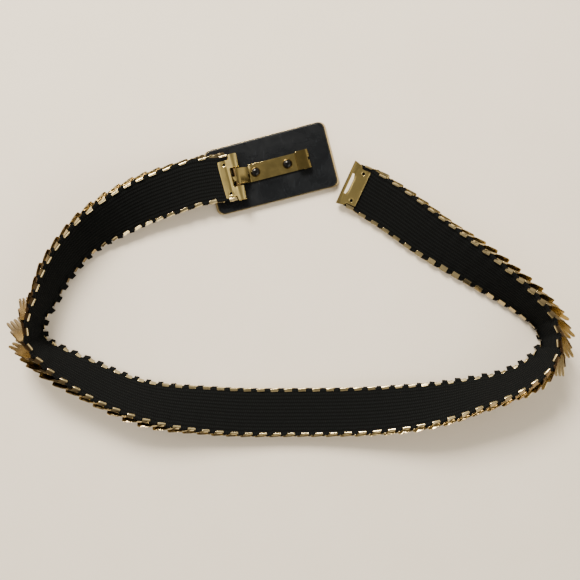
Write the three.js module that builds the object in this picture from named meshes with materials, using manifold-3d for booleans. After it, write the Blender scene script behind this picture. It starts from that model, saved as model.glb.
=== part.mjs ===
// A stretch belt for a dress, lying open in a loop with its inner side up. Metal plates with finger
// ends are clipped round a black ribbed elastic, each lying over the next like a shingle. One end of
// the elastic is clamped in a sheet brass hinge that carries the buckle, which lies face down, and the
// other in a folded brass catch with a slot, which drops over the hook on the buckle's back.
// Sizes are in millimetres. X and Y are measured on the table and Z goes up from it.

import * as THREE from 'three';
import { mergeVertices } from 'three/addons/utils/BufferGeometryUtils.js';
import Module from 'manifold-3d';

const wasm = await Module();
wasm.setup();

const { degToRad, radToDeg } = THREE.MathUtils;

// Elastic
const ELASTIC_WIDTH = 29.4;
const ELASTIC_THICKNESS = 1.6;
const CLEARANCE = 0.3;

// Scale plates: x runs along the fingers from the middle of the tabs, y across the belt from its
// lower to its upper edge, and z from the plate towards the wearer
const PLATE_COUNT = 77;
const PLATE_STEP = 9.2;
const PLATE_WIDTH = 31.8;
const ROOT_SHEET = 1.0;
const TIP_SHEET = 0.45;
const TAB_LENGTH = 5.6;
const TAB_REACH = 2.1;
const TAB_SHEET = 0.6;
const TAB_WALL = 0.8;
const SHOULDER_REACH = 15.4;
const FINGER_REACH = 21.4;
const FINGER_COUNT = 4;
const FINGER_PITCH = 6.1;
const FINGER_TIP_WIDTH = 3.0;
const PLATE_SKEW = degToRad(3.5);

// A plate takes the strap's direction from a step of it, which starts this many plates behind
const TURN_LAG = 0.75;

// How a plate leans on the one above it: how far the two run into each other, the least slope, and
// the lip that reaches down to a plate from a root that would miss it
const PLATE_EMBED = 0.08;
const DEEPEST_EMBED = 0.7;
const USUAL_SLOPE = 0.11;
const LEAST_SLOPE = 0.06;
const LEAST_CONTACT = 0.05;
const LIP_WIDTH = 8;
const LIP_HOLD = 0.7;

// Where the strap lies: the middle of the elastic at some of the plates, counted from the buckle.
// bank is how far the upper edge is turned up from the table, lift how far the strap is held off it.
const STRAP_PATH = [
  { plate: 1, x: -40.5, y: 73.5, bank: 0, lift: 3.8 },
  { plate: 2, x: -54, y: 71.5, bank: 2, lift: 3.4 },
  { plate: 3, x: -65, y: 69, bank: 5, lift: 2.8 },
  { plate: 4, x: -75, y: 65.5, bank: 10, lift: 2.4 },
  { plate: 8, x: -106.5, y: 52, bank: 31, lift: 0.7 },
  { plate: 12, x: -136.5, y: 31, bank: 57, lift: 0.3 },
  { plate: 15, x: -153, y: 9, bank: 68, lift: 0.1 },
  { plate: 17, x: -160.5, y: -8, bank: 77, lift: 0.1 },
  { plate: 18.5, x: -166, y: -21, bank: 84, lift: 0.1 },
  { plate: 20, x: -164.5, y: -34.5, bank: 80, lift: 0.1 },
  { plate: 21.5, x: -154.5, y: -43.5, bank: 69, lift: 0 },
  { plate: 24, x: -134, y: -55.5, bank: 55, lift: 0 },
  { plate: 28, x: -100.5, y: -70.5, bank: 45, lift: 0 },
  { plate: 34, x: -46, y: -79, bank: 19, lift: 0 },
  { plate: 40, x: 9, y: -80, bank: 10, lift: 0 },
  { plate: 46, x: 64.5, y: -77.5, bank: 23, lift: 0.5 },
  { plate: 49, x: 91.5, y: -73.9, bank: 38.5, lift: 0.7 },
  { plate: 52, x: 118, y: -68, bank: 55, lift: 0.2 },
  { plate: 55.5, x: 148.8, y: -57.7, bank: 69, lift: 0.1 },
  { plate: 57.5, x: 163.5, y: -46.8, bank: 75, lift: 0.3 },
  { plate: 59, x: 169.4, y: -34.8, bank: 84, lift: 0.1 },
  { plate: 60.5, x: 166, y: -22.5, bank: 76, lift: 0 },
  { plate: 62.5, x: 154, y: -9.5, bank: 65, lift: 0 },
  { plate: 66, x: 129, y: 9.5, bank: 49, lift: 0 },
  { plate: 71, x: 92, y: 35, bank: 25, lift: 0 },
  { plate: 75, x: 62.5, y: 56.5, bank: 16, lift: 0 },
  { plate: 77, x: 45.5, y: 67, bank: 12, lift: 0 },
];

// Buckle: its middle and turn on the table, and its layers from the table up
const BUCKLE_CENTRE = { x: -12.4, y: 80.6 };
const BUCKLE_TURN = degToRad(14.3);
const BUCKLE_LENGTH = 83.8;
const BUCKLE_WIDTH = 44.1;
const BUCKLE_CORNER = 4.4;
const FRONT_BEVEL = 1.2;
const FRONT_FLOOR = 1.0;
const FRONT_RIM = 0.9;
const FRONT_RIM_TOP = 3.2;
const BACK_TOP = 4.3;
const BACK_BEVEL = 0.7;
const SMALL_BEVEL = 0.1;

// Hinge: the pin's height over the table and its distance from the buckle's middle
const PIN_RADIUS = 1.7;
const PIN_HEIGHT = 10.5;
const PIN_OFFSET = 23.27;
const ROLL_INNER = 2.15;
const BRASS = 0.9;

// Hinge clamp, measured from the pin and positive towards the buckle
const LEAF_START = -10.3;
const LEAF_END = -3.35;
const RAMP_START = -5.0;
const WIDE_START = -2.6;
const NARROW_WIDTH = 24.4;
const WIDE_WIDTH = 30.6;
const KNUCKLE_SLOT = 12.8;
const CLAMP_SHIFT = -0.75;
const ROLL_END = -150;
const ELASTIC_START = -3.4;
const FIRST_PLATE = -5.8;
const PUNCH_RADIUS = 1.0;
const PUNCH_INSET = 2.6;
const PUNCH_FROM_EDGE = 4;

// Hook bracket, measured from the pin
const BAR_WIDTH = 11.6;
const BAR_START = 8.3;
const RAMP_EDGE = 4.6;
const BARREL_END = -0.2;
const TONGUE = { from: -3.4, to: -0.5 };
const BRACKET_ROLL_START = 215;
const HOOK_END = 49.3;
const HOOK_GAP = 2.5;
const HOOK_LIP = 40.5;
const HOOK_LIP_RISE = 0.4;
const HOOK_ON_BAR = 2;
const HOOK_WIDTH = 12.4;
const HOOK_NOTCH = 2.0;
const HOOK_NOTCH_DEPTH = 1.2;
const HEAD_PLACES = [12.5, 34.3];
const HEAD_RADIUS = 2.85;
const HEAD_HEIGHT = 2.0;
const HEAD_EDGE = 0.3;
const POST_RADIUS = 1.4;
const POST_DEPTH = 1;
const HOLE_RADIUS = 1.85;

// Catch, measured from the middle of its edge on the strap's side towards its free end
const CATCH_ORIGIN = { x: 48.0, y: 66.1 };
const CATCH_TURN = degToRad(155.2);
const CATCH_LENGTH = 12.7;
const CATCH_NARROW = 24.4;
const CATCH_SHOULDER = 28.4;
const CATCH_WIDE = 31.2;
const CATCH_STEP = { from: 5.9, to: 7.6 };
const CATCH_SLOT = { from: 8.2, to: 11.2, width: 14.4 };
const CATCH_LOWER_START = 5.9;
const ELASTIC_IN_CATCH = 7.8;
const LAST_PLATE_IN_CATCH = 2.8;

const FAR = 50;

// Solids

function solidOf(geometry) {
  const bare = geometry.index ? geometry.toNonIndexed() : geometry.clone();
  bare.deleteAttribute('normal');
  bare.deleteAttribute('uv');
  const merged = mergeVertices(bare, 1e-4);
  return new wasm.Manifold(new wasm.Mesh({
    numProp: 3,
    vertProperties: new Float32Array(merged.attributes.position.array),
    triVerts: new Uint32Array(merged.index.array),
  }));
}

function geometryOf(solid) {
  const { vertProperties, triVerts } = solid.getMesh();
  const geometry = new THREE.BufferGeometry();
  geometry.setAttribute('position', new THREE.BufferAttribute(new Float32Array(vertProperties), 3));
  geometry.setIndex(new THREE.BufferAttribute(new Uint32Array(triVerts), 1));
  return geometry;
}

const joined = (solids) => solids.reduce((sum, solid) => sum.add(solid));

// A solid through rings of points, each ring seen anticlockwise from the last one's side
function loftedSolid(rings) {
  const position = [];
  const face = (points) => {
    for (let i = 1; i + 1 < points.length; i += 1) {
      position.push(...points[0], ...points[i], ...points[i + 1]);
    }
  };
  face([...rings[0]].reverse());
  face(rings.at(-1));
  for (let i = 0; i + 1 < rings.length; i += 1) {
    const [near, far] = [rings[i], rings[i + 1]];
    for (let k = 0; k < near.length; k += 1) {
      const next = (k + 1) % near.length;
      face([near[k], near[next], far[next], far[k]]);
    }
  }
  const geometry = new THREE.BufferGeometry();
  geometry.setAttribute('position', new THREE.Float32BufferAttribute(position, 3));
  return solidOf(geometry);
}

function block(from, to) {
  const size = to.map((value, axis) => value - from[axis]);
  const geometry = new THREE.BoxGeometry(...size);
  geometry.translate(...from.map((value, axis) => value + size[axis] / 2));
  return solidOf(geometry);
}

function uprightCylinder(radius, bottom, top, x, y, sides) {
  const geometry = new THREE.CylinderGeometry(radius, radius, top - bottom, sides);
  geometry.rotateX(Math.PI / 2);
  geometry.translate(x, y, (bottom + top) / 2);
  return solidOf(geometry);
}

function extruded(outline, depth) {
  const shape = new THREE.Shape(outline.map(([x, y]) => new THREE.Vector2(x, y)));
  return new THREE.ExtrudeGeometry(shape, { depth, bevelEnabled: false });
}

// A flat outline [x, y] raised from bottom to top
function raised(outline, bottom, top) {
  return solidOf(extruded(outline, top - bottom).translate(0, 0, bottom));
}

// A profile [x, z] stretched evenly to both sides along Y
function stretched(profile, width) {
  return solidOf(extruded(profile, width).rotateX(Math.PI / 2).translate(0, width / 2, 0));
}

// Points of an arc, with angles in degrees from the first axis
function arc(x, z, radius, from, to, steps) {
  return Array.from({ length: steps + 1 }, (_, i) => {
    const angle = degToRad(from + ((to - from) * i) / steps);
    return [x + radius * Math.cos(angle), z + radius * Math.sin(angle)];
  });
}

// The closed profile of a sheet whose middle line runs through the points
function sheetProfile(points, thickness) {
  const left = [];
  const right = [];
  points.forEach(([x, z], i) => {
    const before = points[Math.max(i - 1, 0)];
    const after = points[Math.min(i + 1, points.length - 1)];
    const arriving = new THREE.Vector2(x - before[0], z - before[1]).normalize();
    const leaving = new THREE.Vector2(after[0] - x, after[1] - z).normalize();
    const along = arriving.clone().add(leaving).normalize();
    const corner = Math.max(along.dot(arriving), along.dot(leaving));
    const offset = new THREE.Vector2(-along.y, along.x).multiplyScalar(thickness / 2 / corner);
    left.push([x + offset.x, z + offset.y]);
    right.push([x - offset.x, z - offset.y]);
  });
  return [...left, ...right.reverse()];
}

// Angle in degrees at which a line from the point touches a circle round the origin
function touchAngle([x, z], radius, side) {
  return radToDeg(Math.atan2(z, x) + side * Math.acos(radius / Math.hypot(x, z)));
}

// The strap's path

// A smooth value of one column of the path at any plate number
function pathValue(column, plate) {
  const rows = STRAP_PATH;
  const last = rows.length - 1;
  const place = Math.min(Math.max(plate, 1), PLATE_COUNT);
  const span = (i) => rows[i + 1].plate - rows[i].plate;
  const steepness = (i) => (rows[i + 1][column] - rows[i][column]) / span(i);
  const slope = (i) => {
    if (i === 0) return steepness(0);
    if (i === last) return steepness(last - 1);
    return (steepness(i - 1) * span(i) + steepness(i) * span(i - 1)) / (span(i - 1) + span(i));
  };
  let i = 0;
  while (i < last - 1 && place >= rows[i + 1].plate) i += 1;
  const t = (place - rows[i].plate) / span(i);
  const start = (2 * t ** 3 - 3 * t ** 2 + 1) * rows[i][column];
  const end = (3 * t ** 2 - 2 * t ** 3) * rows[i + 1][column];
  const leaving = (t ** 3 - 2 * t ** 2 + t) * span(i) * slope(i);
  const arriving = (t ** 3 - t ** 2) * span(i) * slope(i + 1);
  return start + end + leaving + arriving;
}

const bankAt = (plate) => degToRad(pathValue('bank', plate));

// Heights over the middle of the elastic
const TAB_UNDER = ELASTIC_THICKNESS / 2 + CLEARANCE;
const BODY_INNER = -TAB_UNDER;
const ROOT = -TAB_LENGTH / 2;

// How far a plate's lower edge hangs below the middle of the elastic, at some reach from its tabs
function edgeDrop(plate, reach) {
  const bank = bankAt(plate + reach / PLATE_STEP);
  const across = (PLATE_WIDTH / 2) * Math.cos(PLATE_SKEW) - reach * Math.sin(PLATE_SKEW);
  const depth = ROOT_SHEET - BODY_INNER + USUAL_SLOPE * (reach - ROOT);
  return across * Math.sin(bank) + depth * Math.cos(bank);
}

// A plate rests on the corner of its root, or on its shoulder, which lies under the plates before it
function strapPoint(plate) {
  const rest = Math.max(edgeDrop(plate, ROOT), edgeDrop(plate, SHOULDER_REACH));
  return new THREE.Vector3(pathValue('x', plate), pathValue('y', plate), rest + pathValue('lift', plate));
}

// A frame with x along one direction and y as near as can be to the other
function frameOf(origin, along, across) {
  const x = along.clone().normalize();
  const z = new THREE.Vector3().crossVectors(x, across).normalize();
  const y = new THREE.Vector3().crossVectors(z, x);
  return new THREE.Matrix4().makeBasis(x, y, z).setPosition(origin);
}

// A frame along the strap, turned over by its bank so that y climbs towards the upper edge
function bankedFrame(origin, along, bank) {
  const level = new THREE.Vector3(-along.y, along.x, 0).normalize();
  const across = level.multiplyScalar(Math.cos(bank)).setZ(Math.sin(bank));
  return frameOf(origin, along, across);
}

const shifted = (frame, x, y, z) =>
  frame.clone().multiply(new THREE.Matrix4().makeTranslation(x, y, z));

// The pin's frame has x towards the buckle's far end, and the catch's x towards its free end
const pinFrame = new THREE.Matrix4().makeRotationZ(BUCKLE_TURN).setPosition(
  BUCKLE_CENTRE.x - PIN_OFFSET * Math.cos(BUCKLE_TURN),
  BUCKLE_CENTRE.y - PIN_OFFSET * Math.sin(BUCKLE_TURN),
  PIN_HEIGHT,
);
const catchFrame = bankedFrame(
  new THREE.Vector3(CATCH_ORIGIN.x, CATCH_ORIGIN.y, strapPoint(PLATE_COUNT).z),
  new THREE.Vector3(-Math.cos(CATCH_TURN), -Math.sin(CATCH_TURN), 0),
  bankAt(PLATE_COUNT),
).multiply(new THREE.Matrix4().makeRotationZ(Math.PI));

const ELASTIC_BELOW_PIN = BRASS / 2 + CLEARANCE + ELASTIC_THICKNESS / 2;

function plateFrame(plate) {
  if (plate === 1) return shifted(pinFrame, FIRST_PLATE, 0, -ELASTIC_BELOW_PIN);
  if (plate === PLATE_COUNT) {
    return shifted(catchFrame, LAST_PLATE_IN_CATCH, 0, 0)
      .multiply(new THREE.Matrix4().makeRotationZ(Math.PI));
  }
  const behind = plate + TURN_LAG;
  const along = strapPoint(behind - 1).sub(strapPoint(behind));
  return bankedFrame(strapPoint(plate), along, bankAt(plate))
    .multiply(new THREE.Matrix4().makeRotationZ(PLATE_SKEW));
}

const plateFrames = Array.from({ length: PLATE_COUNT }, (_, i) => plateFrame(i + 1));

// The frame of the plate before, seen from a plate
const neighbourFrame = (index) => plateFrames[index].clone().invert().multiply(plateFrames[index - 1]);

// Elastic: straight through each pair of tabs, and bending between them

function elasticRing(frame, x) {
  const [y, z] = [ELASTIC_WIDTH / 2, ELASTIC_THICKNESS / 2];
  const corners = [[-y, -z], [-y, z], [y, z], [y, -z]];
  return corners.map(([across, height]) =>
    new THREE.Vector3(x, across, height).applyMatrix4(frame).toArray());
}

function elasticBand() {
  const halfTab = TAB_LENGTH / 2 + CLEARANCE;
  const last = PLATE_COUNT - 1;
  const rings = [
    elasticRing(plateFrames[0], ELASTIC_START - FIRST_PLATE),
    elasticRing(plateFrames[0], LEAF_START - FIRST_PLATE),
  ];
  for (let index = 1; index < last; index += 1) {
    rings.push(elasticRing(plateFrames[index], halfTab));
    rings.push(elasticRing(plateFrames[index], -halfTab));
  }
  rings.push(elasticRing(plateFrames[last], halfTab));
  rings.push(elasticRing(plateFrames[last], LAST_PLATE_IN_CATCH - ELASTIC_IN_CATCH));
  return loftedSolid(rings);
}

// Scale plates

// Body and fingers, from the end of the tabs
function bodyOutline() {
  const [start, half] = [-ROOT, PLATE_WIDTH / 2];
  const fingers = Array.from({ length: FINGER_COUNT }, (_, i) => (i - (FINGER_COUNT - 1) / 2) * FINGER_PITCH);
  const tips = fingers.flatMap((middle) => [
    [SHOULDER_REACH, middle - FINGER_PITCH / 2],
    [FINGER_REACH, middle - FINGER_TIP_WIDTH / 2],
    [FINGER_REACH, middle + FINGER_TIP_WIDTH / 2],
  ]);
  const lastNotch = [SHOULDER_REACH, fingers.at(-1) + FINGER_PITCH / 2];
  return [[start, -half], [SHOULDER_REACH, -half], ...tips, lastNotch, [SHOULDER_REACH, half], [start, half]];
}

// The root of a plate with its tabs, which stand up beside the elastic and are folded over its edges.
// z is 0 on the sheet's inner face and -1 on its outer face.
function rootSection() {
  const outer = PLATE_WIDTH / 2;
  const wall = outer - TAB_WALL;
  const tip = outer - TAB_REACH;
  const top = TAB_UNDER + TAB_SHEET;
  const upper = [[outer, top], [tip, top], [tip, TAB_UNDER], [wall, TAB_UNDER], [wall, 0]];
  return [[-outer, -1], [outer, -1], ...upper, ...upper.map(([y, z]) => [-y, z]).reverse()];
}

const innerFace = (slope, x) => BODY_INNER - slope * (x - ROOT);

// The corners of the root above, seen from a plate
function rootAbove(index) {
  return [-1, 0, 1].map((side) =>
    new THREE.Vector3(ROOT, (side * PLATE_WIDTH) / 2, BODY_INNER - ROOT_SHEET)
      .applyMatrix4(neighbourFrame(index)));
}

// A plate leans out just enough to lie under the root of the plate above it
function plateSlope(index) {
  if (index === 0) return 0;
  const slopeFor = (corner, embed) => (BODY_INNER - embed - corner.z) / (corner.x - ROOT);
  const [lower, middle, upper] = rootAbove(index);
  const deepest = Math.max(slopeFor(lower, DEEPEST_EMBED), slopeFor(upper, DEEPEST_EMBED));
  return Math.max(slopeFor(middle, PLATE_EMBED), deepest, LEAST_SLOPE);
}

// Turns a sheet between z -1 and 0 into one that leans out and thins towards the fingers
function leaningSheet(geometry, slope) {
  const position = geometry.attributes.position;
  for (let i = 0; i < position.count; i += 1) {
    const x = position.getX(i);
    const z = position.getZ(i);
    const sheet = THREE.MathUtils.mapLinear(x, ROOT, FINGER_REACH, ROOT_SHEET, TIP_SHEET);
    if (z <= 0) position.setZ(i, innerFace(slope, x) + z * sheet);
  }
  return solidOf(geometry);
}

function plateSolid(index, slope) {
  const alongX = new THREE.Matrix4().set(0, 0, 1, ROOT, 1, 0, 0, 0, 0, 1, 0, 0, 0, 0, 0, 1);
  const root = leaningSheet(extruded(rootSection(), TAB_LENGTH).applyMatrix4(alongX), slope);
  if (index === 0) return root;
  return root.add(leaningSheet(extruded(bodyOutline(), 1).translate(0, 0, -1), slope));
}

// Where the strap bends away, a lip on the root above reaches down to the plate
function plateLip(index, slope) {
  const corners = rootAbove(index);
  const contact = Math.max(...corners.map((corner) => innerFace(slope, corner.x) - corner.z));
  if (contact > LEAST_CONTACT) return [];
  const root = corners[1];
  const bottom = innerFace(slope, root.x) - ROOT_SHEET / 4;
  const low = [root.x + ROOT_SHEET / 4, root.y - LIP_WIDTH / 2, bottom];
  const high = [root.x + ROOT_SHEET, root.y + LIP_WIDTH / 2, root.z + LIP_HOLD * ROOT_SHEET];
  return [block(low, high)];
}

function scalePlates() {
  const plates = plateFrames.map((frame, index) => {
    const slope = plateSlope(index);
    const lip = index > 1 ? plateLip(index, slope) : [];
    return joined([plateSolid(index, slope), ...lip]).transform(frame.elements);
  });
  return joined(plates);
}

// Hinge clamp

function hingeClamp() {
  const middle = ROLL_INNER + BRASS / 2;
  const start = [RAMP_START, 0];
  const line = [
    [LEAF_START, 0], start, ...arc(0, 0, middle, touchAngle(start, middle, -1), ROLL_END, 7)];
  const slot = block([LEAF_END, -KNUCKLE_SLOT / 2, -FAR], [FAR, KNUCKLE_SLOT / 2, FAR]);
  const sides = [-1, 1].map((side) => {
    const edges = [side * NARROW_WIDTH / 2, side * FAR].sort((a, b) => a - b);
    return block([-FAR, edges[0], -FAR], [WIDE_START, edges[1], FAR]);
  });
  const marks = [-1, 1].map((side) => uprightCylinder(
    PUNCH_RADIUS, -BRASS, BRASS, LEAF_START + PUNCH_FROM_EDGE, side * (NARROW_WIDTH / 2 - PUNCH_INSET), 8));
  return stretched(sheetProfile(line, BRASS), WIDE_WIDTH).subtract(joined([slot, ...sides, ...marks]));
}

function hingePin() {
  return solidOf(new THREE.CylinderGeometry(PIN_RADIUS, PIN_RADIUS, WIDE_WIDTH, 12));
}

// Hook bracket: a tongue rolled round the pin, a ramp down to the buckle's back, a bar along it, and a hook
// folded back from its end

const BAR_LEVEL = BACK_TOP + CLEARANCE + BRASS / 2 - PIN_HEIGHT;

function hookBracket() {
  const middle = ROLL_INNER + BRASS / 2;
  const foot = [BAR_START, BAR_LEVEL];
  const fold = (HOOK_GAP + BRASS) / 2;
  const foldCentre = HOOK_END - fold - BRASS / 2;
  const barLine = [
    ...arc(0, 0, middle, BRACKET_ROLL_START, touchAngle(foot, middle, 1), 7),
    foot,
    [HOOK_LIP, BAR_LEVEL],
  ];
  const hookLine = [
    [HOOK_LIP - HOOK_ON_BAR, BAR_LEVEL],
    ...arc(foldCentre, BAR_LEVEL + fold, fold, -90, 90, 6),
    [HOOK_LIP + HOOK_ON_BAR, BAR_LEVEL + 2 * fold],
    [HOOK_LIP, BAR_LEVEL + 2 * fold + HOOK_LIP_RISE],
  ];
  const bar = stretched(sheetProfile(barLine, BRASS), BAR_WIDTH);
  const hook = stretched(sheetProfile(hookLine, BRASS), HOOK_WIDTH);
  const holes = HEAD_PLACES.map((x) => uprightCylinder(
    HOLE_RADIUS, BAR_LEVEL - BRASS, BAR_LEVEL + BRASS, x, 0, 10));
  const notch = block(
    [HOOK_END - HOOK_NOTCH_DEPTH, -HOOK_NOTCH / 2, -FAR], [FAR, HOOK_NOTCH / 2, FAR]);
  const rampSide = block([-FAR, RAMP_EDGE, -FAR], [BAR_START, FAR, FAR]);
  const besideTongue = [
    block([-FAR, -FAR, -FAR], [BARREL_END, TONGUE.from, FAR]),
    block([-FAR, TONGUE.to, -FAR], [BARREL_END, FAR, FAR])];
  return bar.add(hook).subtract(joined([...holes, notch])).subtract(rampSide)
    .subtract(besideTongue[0]).subtract(besideTongue[1]);
}

// Buckle, drawn round its own middle

// A rounded slab with its lower and upper edges bevelled
function slab(inset, bottom, top, lowerBevel, upperBevel) {
  const ring = (bevel, z) => {
    const radius = BUCKLE_CORNER - inset - bevel / 2;
    const x = BUCKLE_LENGTH / 2 - inset - bevel - radius;
    const y = BUCKLE_WIDTH / 2 - inset - bevel - radius;
    const quarter = (sideX, sideY, from) => arc(sideX * x, sideY * y, radius, from, from + 90, 3);
    return [...quarter(1, 1, 0), ...quarter(-1, 1, 90), ...quarter(-1, -1, 180), ...quarter(1, -1, 270)]
      .map((point) => [...point, z]);
  };
  return loftedSolid([
    ring(lowerBevel, bottom), ring(0, bottom + lowerBevel),
    ring(0, top - upperBevel), ring(upperBevel, top)]);
}

function buckleFront() {
  const shell = slab(0, 0, FRONT_RIM_TOP, FRONT_BEVEL, FRONT_RIM / 3);
  return shell.subtract(slab(FRONT_RIM, FRONT_FLOOR, FAR, SMALL_BEVEL, SMALL_BEVEL));
}

// A post with a domed head that holds the bracket down
function headedPost(x) {
  const bottom = BACK_TOP + 2 * CLEARANCE + BRASS;
  const dome = arc(0, 0, 1, 0, 90, 3)
    .map(([r, z]) => new THREE.Vector2(r * HEAD_RADIUS, HEAD_EDGE + z * (HEAD_HEIGHT - HEAD_EDGE)));
  dome[dome.length - 1].x = 0;
  const profile = [new THREE.Vector2(0, 0), new THREE.Vector2(HEAD_RADIUS, 0), ...dome];
  const head = new THREE.LatheGeometry(profile, 10).rotateX(Math.PI / 2).translate(x, 0, bottom);
  return solidOf(head).add(uprightCylinder(POST_RADIUS, BACK_TOP - POST_DEPTH, bottom + HEAD_EDGE, x, 0, 8));
}

function buckleBack() {
  const inset = FRONT_RIM + CLEARANCE;
  const insert = slab(inset, FRONT_FLOOR + CLEARANCE, BACK_TOP, SMALL_BEVEL, BACK_BEVEL);
  return joined([insert, ...HEAD_PLACES.map((x) => headedPost(x - PIN_OFFSET))]);
}

// Catch: a folded sheet over the end of the elastic, with a slot for the hook

function catchClamp() {
  const level = TAB_UNDER + BRASS / 2;
  const line = [
    [0, level],
    ...arc(CATCH_LENGTH - level - BRASS / 2, 0, level, 90, -90, 6),
    [CATCH_LOWER_START, -level],
  ];
  const { from, to } = CATCH_STEP;
  const edge = [
    [-BRASS, CATCH_NARROW], [from, CATCH_NARROW], [to, CATCH_SHOULDER], [CATCH_LENGTH + BRASS, CATCH_WIDE]];
  const lower = edge.map(([x, width]) => [x, -width / 2]);
  const upper = edge.map(([x, width]) => [x, width / 2]).reverse();
  const outline = raised([...lower, ...upper], -FAR, FAR);
  const slot = block(
    [CATCH_SLOT.from, -CATCH_SLOT.width / 2, -FAR], [CATCH_SLOT.to, CATCH_SLOT.width / 2, FAR]);
  const marks = [-1, 1].map((side) => uprightCylinder(
    PUNCH_RADIUS, 0, FAR, PUNCH_FROM_EDGE, side * (CATCH_NARROW / 2 - PUNCH_INSET), 8));
  return stretched(sheetProfile(line, BRASS), CATCH_WIDE).intersect(outline)
    .subtract(joined([slot, ...marks]));
}

// Assembly

const material = (color, roughness, metalness) =>
  new THREE.MeshStandardMaterial({ color, roughness, metalness });
const brass = material(0x9a8345, 0.32, 1.0);
const gold = material(0xc9a866, 0.28, 1.0);
const steel = material(0x8d8a80, 0.35, 1.0);
const blackElastic = material(0x141618, 0.9, 0.0);
const blackPlastic = material(0x25272b, 0.5, 0.0);

function named(name, solid, finish) {
  const mesh = new THREE.Mesh(geometryOf(solid), finish);
  mesh.name = name;
  return mesh;
}

const buckle = new THREE.Group();
buckle.position.set(PIN_OFFSET, 0, -PIN_HEIGHT);
buckle.add(named('buckle_back', buckleBack(), blackPlastic));
buckle.add(named('buckle_front', buckleFront(), gold));

const hinge = new THREE.Group();
hinge.applyMatrix4(pinFrame);
const clamped = new THREE.Group();
clamped.position.y = CLAMP_SHIFT;
clamped.add(named('hinge_clamp', hingeClamp(), brass));
clamped.add(named('hinge_pin', hingePin(), steel));
hinge.add(clamped);
hinge.add(named('hook_bracket', hookBracket(), brass));
hinge.add(buckle);

const catchEnd = named('catch_clamp', catchClamp(), brass);
catchEnd.applyMatrix4(catchFrame);

const group = new THREE.Group();
group.add(named('elastic_band', elasticBand(), blackElastic));
group.add(named('scale_plates', scalePlates(), gold));
group.add(hinge);
group.add(catchEnd);

// The origin is under the middle of the whole belt, on the table
const bounds = new THREE.Box3().setFromObject(group, true);
const middle = bounds.getCenter(new THREE.Vector3());
group.position.set(-middle.x, -middle.y, -bounds.min.z);

export default group;
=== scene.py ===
"""A stretch belt of overlapping gold plates on black ribbed elastic, lying open with its inner side up.

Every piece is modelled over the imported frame. Shapes are worked out in millimetres and placed in metres.
"""

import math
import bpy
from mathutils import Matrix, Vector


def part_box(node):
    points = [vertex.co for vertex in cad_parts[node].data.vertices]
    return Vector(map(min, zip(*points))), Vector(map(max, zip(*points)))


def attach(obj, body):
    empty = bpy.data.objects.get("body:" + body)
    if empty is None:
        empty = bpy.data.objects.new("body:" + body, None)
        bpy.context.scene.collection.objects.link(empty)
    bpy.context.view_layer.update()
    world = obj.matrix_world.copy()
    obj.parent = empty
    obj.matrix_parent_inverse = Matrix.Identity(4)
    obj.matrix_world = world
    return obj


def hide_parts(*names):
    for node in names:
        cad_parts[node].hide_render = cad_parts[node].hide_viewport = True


bl_info = {
    "name": "Stretch Metal Belt",
    "version": (1, 0, 0),
    "blender": (4, 5, 0),
    "location": "3D Viewport > Sidebar > Belt",
    "description": "Builds the plates, elastic, hinge, buckle and catch of a stretch metal belt",
    "category": "Add Mesh",
}

import bmesh
import bpy
from bpy.props import FloatProperty, FloatVectorProperty, IntProperty, PointerProperty
from mathutils import Matrix, Vector
from mathutils.geometry import delaunay_2d_cdt

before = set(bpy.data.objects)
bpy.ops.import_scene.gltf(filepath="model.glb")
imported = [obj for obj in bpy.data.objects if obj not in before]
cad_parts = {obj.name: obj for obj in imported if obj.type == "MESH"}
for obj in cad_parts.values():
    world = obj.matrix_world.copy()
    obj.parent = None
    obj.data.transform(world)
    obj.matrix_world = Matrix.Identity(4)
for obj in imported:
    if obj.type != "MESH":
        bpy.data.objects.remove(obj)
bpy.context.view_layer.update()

MM = 0.001

# Where the strap lies, as in the construction: the middle of the elastic at some of the plates, which
# are counted from the buckle. The columns are plate, x, y, bank and lift, in mm. bank is how far the
# upper edge is turned up, in degrees, and lift how far the strap is held off the table.
STRAP_PATH = (
    (1, -40.5, 73.5, 0, 3.8),
    (2, -54, 71.5, 2, 3.4),
    (3, -65, 69, 5, 2.8),
    (4, -75, 65.5, 10, 2.4),
    (8, -106.5, 52, 31, 0.7),
    (12, -136.5, 31, 57, 0.3),
    (15, -153, 9, 68, 0.1),
    (17, -160.5, -8, 77, 0.1),
    (18.5, -166, -21, 84, 0.1),
    (20, -164.5, -34.5, 80, 0.1),
    (21.5, -154.5, -43.5, 69, 0),
    (24, -134, -55.5, 55, 0),
    (28, -100.5, -70.5, 45, 0),
    (34, -46, -79, 19, 0),
    (40, 9, -80, 10, 0),
    (46, 64.5, -77.5, 23, 0.5),
    (49, 91.5, -73.9, 38.5, 0.7),
    (52, 118, -68, 55, 0.2),
    (55.5, 148.8, -57.7, 69, 0.1),
    (57.5, 163.5, -46.8, 75, 0.3),
    (59, 169.4, -34.8, 84, 0.1),
    (60.5, 166, -22.5, 76, 0),
    (62.5, 154, -9.5, 65, 0),
    (66, 129, 9.5, 49, 0),
    (71, 92, 35, 25, 0),
    (75, 62.5, 56.5, 16, 0),
    (77, 45.5, 67, 12, 0),
)

# Plates over which the strap turns from a bend into the far arm, and from that into the catch's arm
FAR_ARM_START = (19, 22)
FAR_ARM_END = (56, 59)
CATCH_ARM_START = (57, 60)

# Fixed sizes of the construction that the strap's place follows from
PLATE_COUNT = 77
PLATE_STEP = 9.2
PLATE_HALF = 15.9
PLATE_SKEW = math.radians(3.5)
TURN_LAG = 0.75
TAB_HALF = 2.8
TAB_UNDER = 1.1
CAD_ROOT_SHEET = 1.0
CAD_SLOPE = 0.11
SHOULDER = 15.4
FINGER_REACH = 21.4
ELASTIC_HALF = 14.7
ELASTIC_TOP = 0.8

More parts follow.
